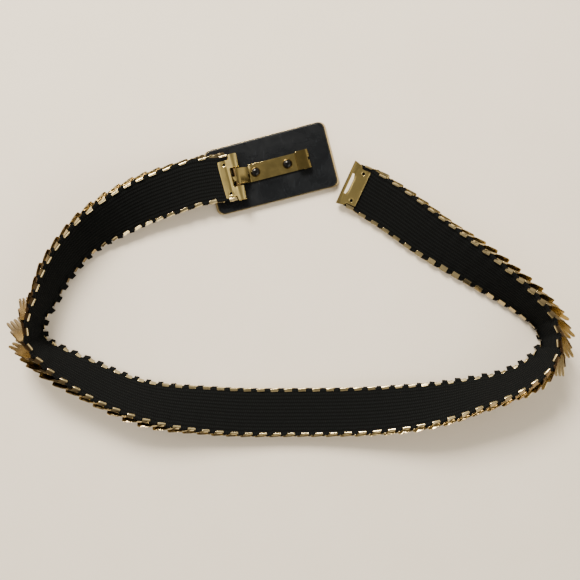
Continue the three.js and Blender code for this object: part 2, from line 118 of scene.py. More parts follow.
# Buckle and hinge: the pin is the middle of the hinge's frame, with x towards the buckle's far end
BUCKLE_CENTRE = (-12.4, 80.6)
BUCKLE_TURN = math.radians(14.3)
PIN_OFFSET = 23.27
CLAMP_SHIFT = -0.75
PIN_HEIGHT = 10.5
FIRST_PLATE = -5.8
ELASTIC_BELOW_PIN = 1.55
BRASS = 0.9
ROLL_RADIUS = 2.6
BAR_LEVEL = -5.45
HEAD_PLACES = (12.5, 34.3)

# Catch: the middle of its edge on the strap's side, with x towards its free end
CATCH_ORIGIN = (48.0, 66.1)
CATCH_TURN = math.radians(155.2)
LAST_PLATE_IN_CATCH = 2.8

# The clamp and the catch have leaves of one width. Holes punched in them hold the elastic, and the sheet
# dips towards each hole
LEAF_HALF = 12.2
PUNCH_RADIUS = 0.95
PUNCH_ACROSS = LEAF_HALF - 2.6
PUNCH_FROM_EDGE = 4.0
DIMPLE_DEPTH = 0.14
DIMPLE_RADII = (0.8, 1.35, 1.8, 2.3)


# Settings


def linear(hex_colour):
    """A linear colour from an sRGB hex value such as c9a866."""
    parts = [int(hex_colour[i:i + 2], 16) / 255 for i in (0, 2, 4)]
    return [p / 12.92 if p <= 0.04045 else ((p + 0.055) / 1.055) ** 2.4 for p in parts] + [1.0]


def metres(name, description, default):
    """A length that the user may change, in metres."""
    return FloatProperty(name=name, description=description, default=default, unit="LENGTH")


class BeltPlates(bpy.types.PropertyGroup):
    sheet: metres("Sheet", "Thickness of the plates' brass", 0.0005)
    crown: metres("Crown", "How far a plate bows outwards in the middle", 0.0006)
    tab_length: metres("Tab length", "Length of a tab along the strap", 0.0050)
    outer_tab: metres("Outer tab", "How far a tab on the outer edge folds over the elastic", 0.0013)
    inner_tab: metres("Inner tab", "How far a tab on the inner edge folds over the elastic", 0.0024)
    fold: metres("Fold", "Inner radius of the folds at the plates' sides", 0.00035)
    finger_root: metres("Finger root", "Width of a finger where it starts", 0.0054)
    finger_tip: metres("Finger tip", "Width of a finger at its round tip", 0.0047)
    gold: FloatVectorProperty(
        name="Gold", description="Colour of the gold plating", subtype="COLOR",
        default=linear("dccb9c")[:3], min=0.0, max=1.0)


class BeltElastic(bpy.types.PropertyGroup):
    ribs: IntProperty(name="Ribs", description="Lengthwise ribs across the elastic", default=13, min=4)
    rib_depth: metres("Rib depth", "Height of a rib over the groove", 0.0003)
    inner_bulge: metres(
        "Inner bulge", "How far the loop's inner edge swells out between two tabs", 0.0003)
    outer_bulge: metres(
        "Outer bulge", "How far the loop's outer edge swells out between two tabs", 0.0009)
    thread: metres("Edge thread", "Thickness of the looped thread along the edges", 0.0006)


class BeltFittings(bpy.types.PropertyGroup):
    bevel: metres("Edge bevel", "Rounding of the sheared edges", 0.00018)
    buckle_length: metres("Buckle length", "Length of the buckle", 0.0838)
    buckle_width: metres("Buckle width", "Width of the buckle", 0.0441)
    corner: metres("Corner", "Radius of the buckle's corners", 0.0044)
    head_radius: metres("Rivet head", "Radius of a rivet's domed head", 0.00285)


class BeltStage(bpy.types.PropertyGroup):
    camera_height: metres("Camera height", "Height of the camera over the table", 0.62)
    view_width: metres("View width", "Width of the table that the picture shows", 0.38667)
    lamp_power: FloatProperty(name="Lamp", description="Power of the lamp", default=57.0, unit="POWER")
    room_light: FloatProperty(
        name="Room light", description="Brightness of the walls round the table", default=1.1, min=0.0)
    panel_light: FloatProperty(
        name="Panel light", description="Brightness of the lit panels on the walls", default=2.5, min=0.0)


# Small helpers


def smooth_step(low, high, value):
    t = min(max((value - low) / (high - low), 0.0), 1.0)
    return t * t * (3 - 2 * t)


def eased(t, start, end, leaving, arriving):
    """A place on the smooth curve from start to end that leaves and arrives at these rates."""
    return ((2 * t**3 - 3 * t**2 + 1) * start + (3 * t**2 - 2 * t**3) * end
            + (t**3 - 2 * t**2 + t) * leaving + (t**3 - t**2) * arriving)


def wobble(number, kind):
    """A value from -1 to 1 that stays the same for a plate's number and a kind of unevenness."""
    value = math.sin(number * 12.9898 + kind * 78.233) * 43758.5453
    return 2 * (value - math.floor(value)) - 1


def arc(centre, radius, start, end, steps):
    """Points of an arc in a plane, with its angles in degrees."""
    angles = [math.radians(start + (end - start) * i / steps) for i in range(steps + 1)]
    return [(centre[0] + radius * math.cos(a), centre[1] + radius * math.sin(a)) for a in angles]


def joined(*shapes):
    """One list of points and one of faces from several shapes."""
    points, faces = [], []
    for shape_points, shape_faces in shapes:
        start = len(points)
        points.extend(shape_points)
        faces.extend([tuple(i + start for i in face) for face in shape_faces])
    return points, faces


def placed(shape, matrix):
    return [matrix @ Vector(p) for p in shape[0]], shape[1]


def lofted(rings, endless=False):
    """A skin over rings of points, each ring anticlockwise seen from the last one's side.

    Its ends are capped, or joined to each other in an endless one.
    """
    count, last = len(rings[0]), len(rings) - 1
    points = [p for ring in rings for p in ring]
    pairs = [(k, k + 1) for k in range(last)] + ([(last, 0)] if endless else [])
    faces = []
    for a, b in pairs:
        for i in range(count):
            j = (i + 1) % count
            faces.append((a * count + i, a * count + j, b * count + j, b * count + i))
    if not endless:
        faces += [tuple(reversed(range(count))), tuple(range(last * count, len(points)))]
    return points, faces


def turned(profile, sides):
    """A skin turned round the z axis from a profile of (radius, height), from its foot up."""
    angles = [2 * math.pi * k / sides for k in range(sides)]
    return lofted([[Vector((r * math.cos(a), r * math.sin(a), z)) for a in angles] for r, z in profile])


def mesh_of(points, faces):
    mesh = bpy.data.meshes.new("shape")
    mesh.from_pydata([tuple(p) for p in points], [], faces)
    mesh.update()
    return mesh


def finish_piece(name, shape, material, body, replaced=(), smooth_angle=None, toned_and_shaded=None, weave=None):
    """Makes a shape in mm into a piece in metres that moves with a body and stands for CAD nodes.

    Without an angle the normals are weighted by area, so that flat faces stay flat up to their bevels.
    The darkening list says for each point how far the metal there turns brown, by tone and by painted
    shade, and weave where it is on the web.
    """
    mesh = mesh_of(*shape)
    if toned_and_shaded:
        mesh.attributes.new("toned_and_shaded", "FLOAT", "POINT").data.foreach_set("value", toned_and_shaded)
    if weave:
        layer = mesh.uv_layers.new(name="weave")
        for loop in mesh.loops:
            layer.data[loop.index].uv = weave[loop.vertex_index]
    mesh.transform(Matrix.Scale(MM, 4))
    mesh.polygons.foreach_set("use_smooth", [True] * len(mesh.polygons))
    if smooth_angle is None:
        normals = [Vector() for _ in mesh.vertices]
        for polygon in mesh.polygons:
            for index in polygon.vertices:
                normals[index] += polygon.normal * polygon.area
        mesh.normals_split_custom_set_from_vertices([normal.normalized() for normal in normals])
    else:
        mesh.set_sharp_from_angle(angle=math.radians(smooth_angle))
    mesh.materials.append(material)
    mesh.name = name
    piece = bpy.data.objects.new(name, mesh)
    bpy.context.scene.collection.objects.link(piece)
    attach(piece, body)
    if replaced:
        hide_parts(*replaced)


# Bent sheet metal


def inside(point, loops):
    """Whether a point is inside an odd number of the closed loops."""
    x, y = point
    odd = False
    for loop in loops:
        for (x1, y1), (x2, y2) in zip(loop, loop[1:] + loop[:1]):
            if (y1 > y) != (y2 > y) and x < x1 + (y - y1) * (x2 - x1) / (y2 - y1):
                odd = not odd
    return odd


def flat_sheet(loops, cuts, thickness, bevel):
    """A flat blank with its outline, its holes and the lines along which it may bend.

    Gives points (u, v, depth) and faces. depth is 0 on the first face and -thickness on the other.
    """
    points, edges = [], []
    for loop in loops:
        first = len(points)
        points.extend(Vector(p) for p in loop)
        edges.extend((first + i, first + (i + 1) % len(loop)) for i in range(len(loop)))
    for start, end in cuts:
        edges.append((len(points), len(points) + 1))
        points.extend((Vector(start), Vector(end)))
    flat, _, triangles, *_ = delaunay_2d_cdt(points, edges, [], 0, 1e-5)
    kept = [tuple(face) for face in triangles
            if inside(sum((flat[i] for i in face), Vector((0, 0))) / 3, loops)]

    shape = bmesh.new()
    used = {i for face in kept for i in face}
    top = {i: shape.verts.new((*flat[i], 0)) for i in used}
    bottom = {i: shape.verts.new((*flat[i], -thickness)) for i in used}
    directed = {(a, b) for face in kept for a, b in zip(face, face[1:] + face[:1])}
    for a, b, c in kept:
        shape.faces.new((top[a], top[b], top[c]))
        shape.faces.new((bottom[c], bottom[b], bottom[a]))
    walls = [shape.faces.new((top[b], top[a], bottom[a], bottom[b]))
             for a, b in directed if (b, a) not in directed]
    rims = {edge for wall in walls for edge in wall.edges
            if abs(edge.verts[0].co.z - edge.verts[1].co.z) < 1e-6}
    bmesh.ops.bevel(shape, geom=list(rims), offset=bevel, segments=1, profile=0.5, affect="EDGES",
                    clamp_overlap=False)
    shape.verts.index_update()
    result = [tuple(v.co) for v in shape.verts], [tuple(v.index for v in f.verts) for f in shape.faces]
    shape.free()
    return result


class FoldLine:
    """The middle line of a folded sheet in x and z, walked by its length."""

    def __init__(self, points):
        self.points = [Vector(p) for p in points]
        self.at = [0.0]
        for a, b in zip(self.points, self.points[1:]):
            self.at.append(self.at[-1] + (b - a).length)
        ways = [(b - a).normalized() for a, b in zip(self.points, self.points[1:])]
        between = [(a + b).normalized() for a, b in zip(ways, ways[1:])]
        self.normals = [Vector((-d.y, d.x)) for d in (ways[0], *between, ways[-1])]
        self.stretch = [1.0, *(1 / max(d.dot(a), 0.5) for a, d in zip(ways, between)), 1.0]

    def place(self, length, across, height):
        """The point at a length along the line, across it, and at a height over its middle."""
        k = 0
        while k < len(self.at) - 2 and length > self.at[k + 1]:
            k += 1
        t = (length - self.at[k]) / (self.at[k + 1] - self.at[k])
        normal = (self.normals[k] * self.stretch[k]).lerp(self.normals[k + 1] * self.stretch[k + 1], t)
        spot = self.points[k].lerp(self.points[k + 1], t) + normal * height
        return Vector((spot.x, across, spot.y))

    def length_at(self, x, after=0.0):
        """The first length past after at which the line is at x."""
        for k in range(len(self.points) - 1):
            a, b = self.points[k].x, self.points[k + 1].x
            if self.at[k + 1] > after and min(a, b) - 1e-9 <= x <= max(a, b) + 1e-9 and a != b:
                found = self.at[k] + (x - a) / (b - a) * (self.at[k + 1] - self.at[k])
                if found >= after:
                    return found
        raise ValueError("the fold line never comes to that x")


def punched_holes():
    """Outlines of the two punched holes, and rings of lines round them along which a blank may bend."""
    holes, cuts = [], []
    for side in (-1, 1):
        centre = (PUNCH_FROM_EDGE, side * PUNCH_ACROSS)
        holes.append(arc(centre, PUNCH_RADIUS, 0, 337.5, 15))
        for radius in DIMPLE_RADII[1:]:
            ring = arc(centre, radius, 0, 360, 20)
            cuts += zip(ring, ring[1:])
    return holes, cuts


def dimple(s, v):
    """How far the sheet is pressed down round the nearer punched hole."""
    away = math.hypot(s - PUNCH_FROM_EDGE, abs(v) - PUNCH_ACROSS)
    return DIMPLE_DEPTH * (1 - smooth_step(DIMPLE_RADII[0], DIMPLE_RADII[-1], away))


def folded_sheet(line, loops, cuts, bevel, change=None, tone_and_shade=None):
    """A brass blank drawn in length and width, laid along a fold line with its middle on the line.

    Gives its points and faces, and how far the metal turns brown at each point, by tone and by painted shade.
    """
    half = max(abs(v) for loop in loops for _, v in loop) + 1
    folds = [((s, -half), (s, half)) for s in line.at[1:-1]]
    points, faces = flat_sheet(loops, folds + cuts, BRASS, bevel)
    spots = [line.place(s, v, depth + BRASS / 2 + (change(s, v) if change else 0.0))
             for s, v, depth in points]
    return (spots, faces), [tone_and_shade(s, v) if tone_and_shade else 0.0 for s, v, _ in points]


def touch_angle(point, radius, side):
    """Angle in degrees at which a line from the point touches a circle round the origin."""
    x, z = point
    return math.degrees(math.atan2(z, x) + side * math.acos(radius / math.hypot(x, z)))


# The strap's path


def smooth_curve(at, values):
    """A function of the plate's number that passes smoothly through the values."""
    spans = [b - a for a, b in zip(at, at[1:])]
    steps = [(b - a) / span for a, b, span in zip(values, values[1:], spans)]
    inner = [(steps[i - 1] * spans[i] + steps[i] * spans[i - 1]) / (spans[i - 1] + spans[i])
             for i in range(1, len(steps))]
    slopes = [steps[0], *inner, steps[-1]]

    def value(plate):
        plate = min(max(plate, at[0]), at[-1])
        i = 0
        while i < len(spans) - 1 and plate >= at[i + 1]:
            i += 1
        return eased((plate - at[i]) / spans[i], values[i], values[i + 1],
                     spans[i] * slopes[i], spans[i] * slopes[i + 1])

    return value


path_plates, *path_columns = zip(*STRAP_PATH)
strap_x, strap_y, strap_bank, strap_lift = [smooth_curve(path_plates, column) for column in path_columns]


def bank_at(plate):
    return math.radians(strap_bank(plate))


def edge_drop(plate, reach):
    """How far a plate's lower edge hangs below the middle of the elastic."""
    bank = bank_at(plate + reach / PLATE_STEP)
    across = PLATE_HALF * math.cos(PLATE_SKEW) - reach * math.sin(PLATE_SKEW)
    depth = CAD_ROOT_SHEET + TAB_UNDER + CAD_SLOPE * (reach + TAB_HALF)
    return across * math.sin(bank) + depth * math.cos(bank)


def strap_point(plate):
    rest = max(edge_drop(plate, -TAB_HALF), edge_drop(plate, SHOULDER))
    return Vector((strap_x(plate), strap_y(plate), rest + strap_lift(plate)))


def banked_frame(origin, along, bank):
    """A frame along the strap, turned over by its bank so that y climbs towards the upper edge."""
    level = Vector((-along.y, along.x, 0)).normalized()
    across = level * math.cos(bank) + Vector((0, 0, math.sin(bank)))
    x = along.normalized()
    z = x.cross(across).normalized()
    return Matrix.Translation(origin) @ Matrix((x, z.cross(x), z)).transposed().to_4x4()


def table_shift():
    """From the middle of the picture to the frame's own origin, in mm."""
    low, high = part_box("buckle_front")
    middle = (low + high) / 2 / MM
    return Matrix.Translation((middle.x - BUCKLE_CENTRE[0], middle.y - BUCKLE_CENTRE[1], 0))


def pin_frame():
    x = BUCKLE_CENTRE[0] - PIN_OFFSET * math.cos(BUCKLE_TURN)
    y = BUCKLE_CENTRE[1] - PIN_OFFSET * math.sin(BUCKLE_TURN)
    return table_shift() @ Matrix.Translation((x, y, PIN_HEIGHT)) @ Matrix.Rotation(BUCKLE_TURN, 4, "Z")


def catch_frame():
    origin = Vector((*CATCH_ORIGIN, strap_point(PLATE_COUNT).z))
    along = Vector((-math.cos(CATCH_TURN), -math.sin(CATCH_TURN), 0))
    half_turn = Matrix.Rotation(math.pi, 4, "Z")
    return table_shift() @ banked_frame(origin, along, bank_at(PLATE_COUNT)) @ half_turn


def plate_frame(plate, skew=PLATE_SKEW):
    """x along the fingers, y towards the upper edge, z towards the wearer."""
    if plate == 1:
        return pin_frame() @ Matrix.Translation((FIRST_PLATE, 0, -ELASTIC_BELOW_PIN))
    if plate == PLATE_COUNT:
        moved = Matrix.Translation((LAST_PLATE_IN_CATCH, 0, 0))
        return catch_frame() @ moved @ Matrix.Rotation(math.pi, 4, "Z")
    behind = plate + TURN_LAG
    along = strap_point(behind - 1) - strap_point(behind)
    banked = banked_frame(strap_point(plate), along, bank_at(plate))
    return table_shift() @ banked @ Matrix.Rotation(skew, 4, "Z")


# Materials


def per_metre(size):
    """The scale of a pattern whose marks are about this many mm across."""
    return 1 / (size * MM)


def add_node(tree, kind, inputs=None, output=None, **settings):
    """Adds a node with its settings, and values or links for its inputs, and gives its output."""
    node = tree.nodes.new("ShaderNode" + kind)
    for name, value in settings.items():
        setattr(node, name, value)
    for key, value in (inputs or {}).items():
        if isinstance(value, bpy.types.NodeSocket):
            tree.links.new(value, node.inputs[key])
        else:
            node.inputs[key].default_value = value
    return node.outputs[output] if output else next(shown for shown in node.outputs if shown.enabled)


def new_material(name, values):
    """A material with one shader, whose plain values are set here."""
    material = bpy.data.materials.new(name)
    material.use_nodes = True
    shader = material.node_tree.nodes["Principled BSDF"]
    for key, value in values.items():
        shader.inputs[key].default_value = value
    return material, material.node_tree


def patterned(material, outputs):
    """Links outputs to the shader's inputs, and gives the material back."""
    tree = material.node_tree
    for key, output in outputs.items():
        tree.links.new(output, tree.nodes["Principled BSDF"].inputs[key])
    return material


def gold_plated_brass(name, gold, roughness, toned_and_shaded, mottle, wave=0.3):
    """Stamped brass sheet with a thin gold plate, worn.

    The plating is bright and warm. Handling leaves it faintly cloudy, and brown where it has toned,
    and each stamped piece takes its own tone. The brown that a piece sets point by point is partly an
    even tone and partly painted shade and painted reflection.
    """
    material, tree = new_material(name, {"Metallic": 1.0})
    where = add_node(tree, "TexCoord", output="Object")
    cloud = add_node(tree, "TexNoise", {
        "Vector": where, "Scale": per_metre(4.545), "Detail": 4.0, "Roughness": 0.6})
    patch = add_node(tree, "MapRange", {
        "Value": cloud, "From Min": 0.45, "From Max": 0.75, "To Max": mottle})
    # How far a point is painted brown by its piece: an even tone, with painted shade and painted reflection
    tone_and_painted_shade = add_node(tree, "Attribute", output="Fac", attribute_name="toned_and_shaded")
    share = add_node(tree, "Math", {0: patch, 1: tone_and_painted_shade}, operation="MAXIMUM")
    tone_and_shade = add_node(tree, "Mix", {"Factor": share, "A": gold, "B": toned_and_shaded}, data_type="RGBA")
    own = add_node(tree, "NewGeometry", output="Random Per Island")
    spread = add_node(tree, "MapRange", {"Value": own, "To Min": 0.86, "To Max": 1.06})
    tinted = add_node(tree, "HueSaturation", {"Color": tone_and_shade, "Value": spread})
    rough = add_node(tree, "MapRange", {
        "Value": cloud, "From Min": 0.3, "From Max": 0.7,
        "To Min": roughness - 0.03, "To Max": roughness + 0.06})
    # Fine dents from the die, and a slow wave in the thin sheet
    grain = add_node(tree, "TexNoise", {"Vector": where, "Scale": per_metre(0.3846), "Detail": 2.0})
    dents = add_node(tree, "Bump", {"Strength": 0.12, "Distance": 0.1 * MM, "Height": grain})
    waves = add_node(tree, "TexNoise", {"Vector": where, "Scale": per_metre(7.692), "Detail": 1.0})
    bump = add_node(tree, "Bump", {
        "Strength": 1.0, "Distance": wave * MM, "Height": waves, "Normal": dents})
    return patterned(material, {"Base Color": tinted, "Roughness": rough, "Normal": bump})


def woven_elastic(ribs):
    """Narrow woven elastic: cotton yarn over rubber, dyed black.

    Each rib is a cord of rubber under yarn that crosses it in short bars, set by half a bar from one rib
    to the next, so that the web has a fine basket grain. It is matte, with a soft nap that catches light.
    """
    material, tree = new_material("woven_black_elastic", {
        "Roughness": 0.9, "Specular IOR Level": 0.05,
        "Sheen Weight": 0.06, "Sheen Roughness": 0.45, "Sheen Tint": linear("6d7680")})
    # x goes from 0 to 1 across the web, and y is the length along it in mm
    place = add_node(tree, "UVMap", uv_map="weave")
    across = add_node(tree, "SeparateXYZ", {"Vector": place}, output="X")
    along = across.node.outputs["Y"]
    rib = add_node(tree, "Math", {0: across, 1: float(ribs)}, operation="MULTIPLY")
    which = add_node(tree, "Math", {0: rib}, operation="FLOOR")
    half = add_node(tree, "Math", {0: which, 1: math.pi}, operation="MULTIPLY")
    # One bar of yarn is 1.27 mm long, and nine single yarns lie in each mm of it
    turn = add_node(tree, "Math", {0: along, 1: 2 * math.pi / 1.27, 2: half}, operation="MULTIPLY_ADD")
    bars = add_node(tree, "Math", {0: turn}, operation="SINE")
    fine = add_node(tree, "TexNoise", {"Vector": place, "Scale": 9.0, "Detail": 3.0}, noise_dimensions="2D")
    yarn = add_node(tree, "Math", {0: fine, 1: 1.2, 2: bars}, operation="MULTIPLY_ADD")
    bump = add_node(tree, "Bump", {"Strength": 0.8, "Distance": 0.12 * MM, "Height": yarn})
    # Where the yarn stands higher it is painted lighter, a painted highlight on the thread tops
    lit = add_node(tree, "MapRange", {"Value": yarn, "From Min": -0.6, "From Max": 1.8})
    # The crest of a rib is painted paler than the grooves beside it, a painted highlight
    painted_crest_highlight = add_node(tree, "Math", {0: rib, 1: 0.5}, operation="PINGPONG")
    shown = add_node(tree, "Math", {0: lit, 1: painted_crest_highlight}, operation="MULTIPLY")
    colour = add_node(tree, "Mix", {
        "Factor": shown, "A": linear("0a0b0b"), "B": linear("1f2325")}, data_type="RGBA")
    return patterned(material, {"Base Color": colour, "Normal": bump})


def looped_thread():
    """The turns of dyed cotton thread that stand out from the edges of the elastic, matte and fuzzy."""
    material, tree = new_material("looped_cotton_thread", {
        "Roughness": 0.9, "Specular IOR Level": 0.05, "Sheen Weight": 0.05, "Sheen Roughness": 0.5})
    where = add_node(tree, "TexCoord", output="Object")
    fuzz = add_node(tree, "TexNoise", {"Vector": where, "Scale": per_metre(0.25), "Detail": 2.0})
    colour = add_node(tree, "Mix", {
        "Factor": fuzz, "A": linear("060708"), "B": linear("131517")}, data_type="RGBA")
    bump = add_node(tree, "Bump", {"Strength": 0.6, "Distance": 0.1 * MM, "Height": fuzz})
    return patterned(material, {"Base Color": colour, "Normal": bump})


def black_lacquer():
    """A sheet lacquered black and baked, which handling has turned charcoal.

    It has a low satin shine, hairline scratches and a few dull smears.
    """
    material, tree = new_material("baked_black_lacquer", {"Specular IOR Level": 0.2})
    where = add_node(tree, "TexCoord", output="Object")
    smear = add_node(tree, "TexNoise", {
        "Vector": where, "Scale": per_metre(14.29), "Detail": 5.0, "Roughness": 0.65, "Distortion": 0.6})
    # Scratches are 7 mm long and 0.45 mm wide, which is coarser than real ones so that they show
    brushed = add_node(tree, "Mapping", {
        "Vector": where, "Rotation": (0, 0, 0.5),
        "Scale": (per_metre(0.4545), per_metre(7.143), per_metre(7.143))})
    hair = add_node(tree, "TexNoise", {"Vector": brushed, "Scale": 1.0, "Detail": 1.0})
    scratch = add_node(tree, "MapRange", {"Value": hair, "From Min": 0.7, "From Max": 0.76})
    base = add_node(tree, "Mix", {
        "Factor": smear, "A": linear("090a0c"), "B": linear("15191e")}, data_type="RGBA")
    worn = add_node(tree, "Mix", {
        "Factor": scratch, "A": base, "B": linear("24282e")}, data_type="RGBA")
    rough = add_node(tree, "MapRange", {
        "Value": smear, "From Min": 0.3, "From Max": 0.7, "To Min": 0.2, "To Max": 0.36})
    bump = add_node(tree, "Bump", {"Strength": 0.08, "Distance": 0.1 * MM, "Height": smear})
    return patterned(material, {"Base Color": worn, "Roughness": rough, "Normal": bump})


def black_enamel():
    """The rivets' black enamel: glossy and hard, so it shows the lamp as one small clear spot.

    Dust and wear dull it in tiny specks.
    """
    material, tree = new_material("black_enamelled_rivet", {"Specular IOR Level": 0.25})
    where = add_node(tree, "TexCoord", output="Object")
    dust = add_node(tree, "TexNoise", {"Vector": where, "Scale": per_metre(0.6667), "Detail": 3.0})
    colour = add_node(tree, "Mix", {
        "Factor": dust, "A": linear("030304"), "B": linear("0c0c0e")}, data_type="RGBA")
    rough = add_node(tree, "MapRange", {
        "Value": dust, "From Min": 0.4, "From Max": 0.7, "To Min": 0.1, "To Max": 0.22})
    return patterned(material, {"Base Color": colour, "Roughness": rough})


def matte_paper():
    """Pale uncoated paper under the belt: dull, with slow faint clouds of fibre about 40 mm across."""
    material, tree = new_material("matte_pale_paper", {"Roughness": 0.85, "Specular IOR Level": 0.2})
    where = add_node(tree, "TexCoord", output="Object")
    fibre = add_node(tree, "TexNoise", {"Vector": where, "Scale": per_metre(40), "Detail": 4.0})
    colour = add_node(tree, "Mix", {
        "Factor": fibre, "A": linear("e8e0d2"), "B": linear("ede6da")}, data_type="RGBA")
    return patterned(material, {"Base Color": colour})


# Pieces


class BELT_OT_plates(bpy.types.Operator):
    """Make the overlapping plates, each with four fingers and two tabs folded over the elastic"""
    bl_idname = "belt.plates"
    bl_label = "Plates"

    FINGERS = (-9.15, -3.05, 3.05, 9.15)
    TAB_CORNER = 0.5
    EDGE_BEVEL = 0.09
    # Where the body's sheet may bend, along its length and beside the outer fingers
    BENDS = (4.2, 5.4, 6.6, 7.8, 9.0, 12.0)
    SIDE_BEND = 13.5
    # A notch frees each lug from the flange beside it, which ends before the fingers
    RELIEF = 0.3
    FLANGE_END = 6.0
    # The root is a little narrower than the body, so that the next plate's sides pass outside it
    ROOT_INSET = 0.5
    # Degrees by which a tab is folded in, how uneven that is, and how far the elastic pries it open
    TAB_FOLD = 99
    TAB_UNEVEN = 6
    TAB_PRIED = 32
    # Plates over which the painted reflection on the fingers grows lighter, and the painted shade on the
    # sides too
    PALER_FINGERS = (30, 45)
    PALER_SIDES = (59, 63)

    def execute(self, context):
        plates = context.scene.belt_plates
        self.sheet, self.fold, self.crown = plates.sheet / MM, plates.fold / MM, plates.crown / MM
        self.near = plates.tab_length / MM / 2
        # Lengths across the blank at which the fold over the elastic changes
        quarter = self.fold * math.pi / 2
        self.start = PLATE_HALF - self.sheet - self.fold
        self.turn_end = self.start + quarter
        self.wall_end = self.turn_end + 2 * (TAB_UNDER - self.fold)
        self.fold_end = self.wall_end + quarter
        blank, root = self.blank(plates, body=True), self.blank(plates, body=False)
        shapes, toned_and_shaded = [], []
        for plate in range(1, PLATE_COUNT + 1):
            self.plate, self.turned_up = plate, math.sin(bank_at(plate))
            self.on_arm = smooth_step(*CATCH_ARM_START, plate)
            self.slope = 0.0 if plate == 1 else plate_slope(plate, self.sheet)
            points, faces = root if plate == 1 else blank
            shapes.append(placed(([self.place(*p) for p in points], faces), plate_frame(plate)))
            toned_and_shaded += [self.tone_and_shade_at(x, w) for x, w, _ in points]
        # 4a3521 is the brown of toned patches, and also of the painted shade and painted reflection set point
        # by point on the plates
        gold = gold_plated_brass(
            "gold_plated_brass", [*plates.gold, 1.0], 0.17, linear("4a3521"), 0.1, wave=0.1)
        finish_piece("plates", joined(*shapes), gold, "strap", ["scale_plates"], toned_and_shaded=toned_and_shaded)
        return {"FINISHED"}

    def blank(self, plates, body):
        """The flat blank: a body with four fingers, and a lug at each side of its root."""
        near, past = self.near, self.near + self.RELIEF
        tucked = self.fold_end + self.start - PLATE_HALF
        outer, inner = tucked + plates.outer_tab / MM, tucked + plates.inner_tab / MM
        outline = []
        if body:
            root_half, tip_half = plates.finger_root / MM / 2, plates.finger_tip / MM / 2
            slot = (self.FINGERS[1] - self.FINGERS[0]) / 2 - root_half
            end = self.FLANGE_END
            side = [(near, -self.start - 0.2), (past, -self.start - 0.2), (past, -self.wall_end + 0.4),
                    *arc((end - 1.0, -self.wall_end + 1.0), 1.0, -90, -20, 4),
                    (end + 1.5, -self.turn_end), (end + 3.5, -PLATE_HALF),
                    *arc((SHOULDER - 1.4, -PLATE_HALF + 1.4), 1.4, -90, 0, 4)]
            outline += [*side, (SHOULDER, self.FINGERS[0] - root_half - 0.4)]
            for centre in self.FINGERS:
                outline += [(SHOULDER + 0.4, centre - root_half),
                            *arc((FINGER_REACH - tip_half, centre), tip_half, -80, 80, 8),
                            (SHOULDER + 0.4, centre + root_half)]
                if centre < self.FINGERS[-1]:
                    outline += arc((SHOULDER - 0.6, centre + root_half + slot), slot, 270, 90, 6)[1:-1]
            outline += [(SHOULDER, self.FINGERS[-1] + root_half + 0.4)]
            outline += [(x, -y) for x, y in reversed(side)]
        for x, y, angle in ((near, outer, 0), (-near, outer, 90), (-near, -inner, 180), (near, -inner, 270)):
            centre = [v - math.copysign(self.TAB_CORNER, v) for v in (x, y)]
            outline += arc(centre, self.TAB_CORNER, angle, angle + 90, 3)
        stations = [self.start + (self.turn_end - self.start) * k / 4 for k in range(5)]
        folds = [self.wall_end + (self.fold_end - self.wall_end) * k / 4 for k in range(5)]
        reach = self.FLANGE_END + 3.6 if body else near + self.RELIEF / 2
        cuts = [((-near - 1, side * w), (reach, side * w)) for w in stations for side in (-1, 1)]
        reach = near + self.RELIEF / 2
        cuts += [((-near - 1, side * w), (reach, side * w)) for w in folds for side in (-1, 1)]
        if body:
            across = (-self.SIDE_BEND, *self.FINGERS, self.SIDE_BEND)
            cuts += [((-near - 1, y), (FINGER_REACH + 1, y)) for y in across]
            cuts += [((x, -PLATE_HALF - 3), (x, PLATE_HALF + 3)) for x in self.BENDS]
        return flat_sheet([outline], cuts, self.sheet, self.EDGE_BEVEL)

    def tone_and_shade_at(self, x, w):
        """How far the sheet turns brown: a light even tone on the sides with painted shade that deepens as
        the plate turns up, a painted brown reflection on the fingers, and painted shade on the inner tabs.
        """
        past_fold = smooth_step(self.wall_end, self.fold_end, abs(w))
        sides = smooth_step(self.start, self.turn_end, abs(w)) * (1 - past_fold)
        sides *= 0.15 + (0.85 - 0.3 * smooth_step(*self.PALER_SIDES, self.plate)) * self.turned_up ** 2
        fingers = (0.7 - 0.5 * smooth_step(*self.PALER_FINGERS, self.plate)) * smooth_step(6, 11, x)
        # Inner tabs carry painted shade: strong at the left bend, half as strong from the right bend on, and
        # slight elsewhere
        dull = 0.8 if 9 < self.plate < 18 else 0.55 if self.plate > 58 else 0.1
        folded = dull * self.turned_up * past_fold if w < 0 else 0.0
        return max(sides, fingers, folded)

    def place(self, x, w, depth):
        """A point of the blank, bent over the elastic, bowed, and leaning out towards the fingers."""
        side, reach, fold, start = (1 if w > 0 else -1), abs(w), self.fold, self.start
        on_lug = x <= self.near + self.RELIEF / 2
        widened = self.ROOT_INSET * (smooth_step(2.6, 6.4, x) - 1)
        opening = 1.0 if on_lug else 1 - smooth_step(self.FLANGE_END - 0.6, self.FLANGE_END + 3.4, x)
        if on_lug and side < 0:
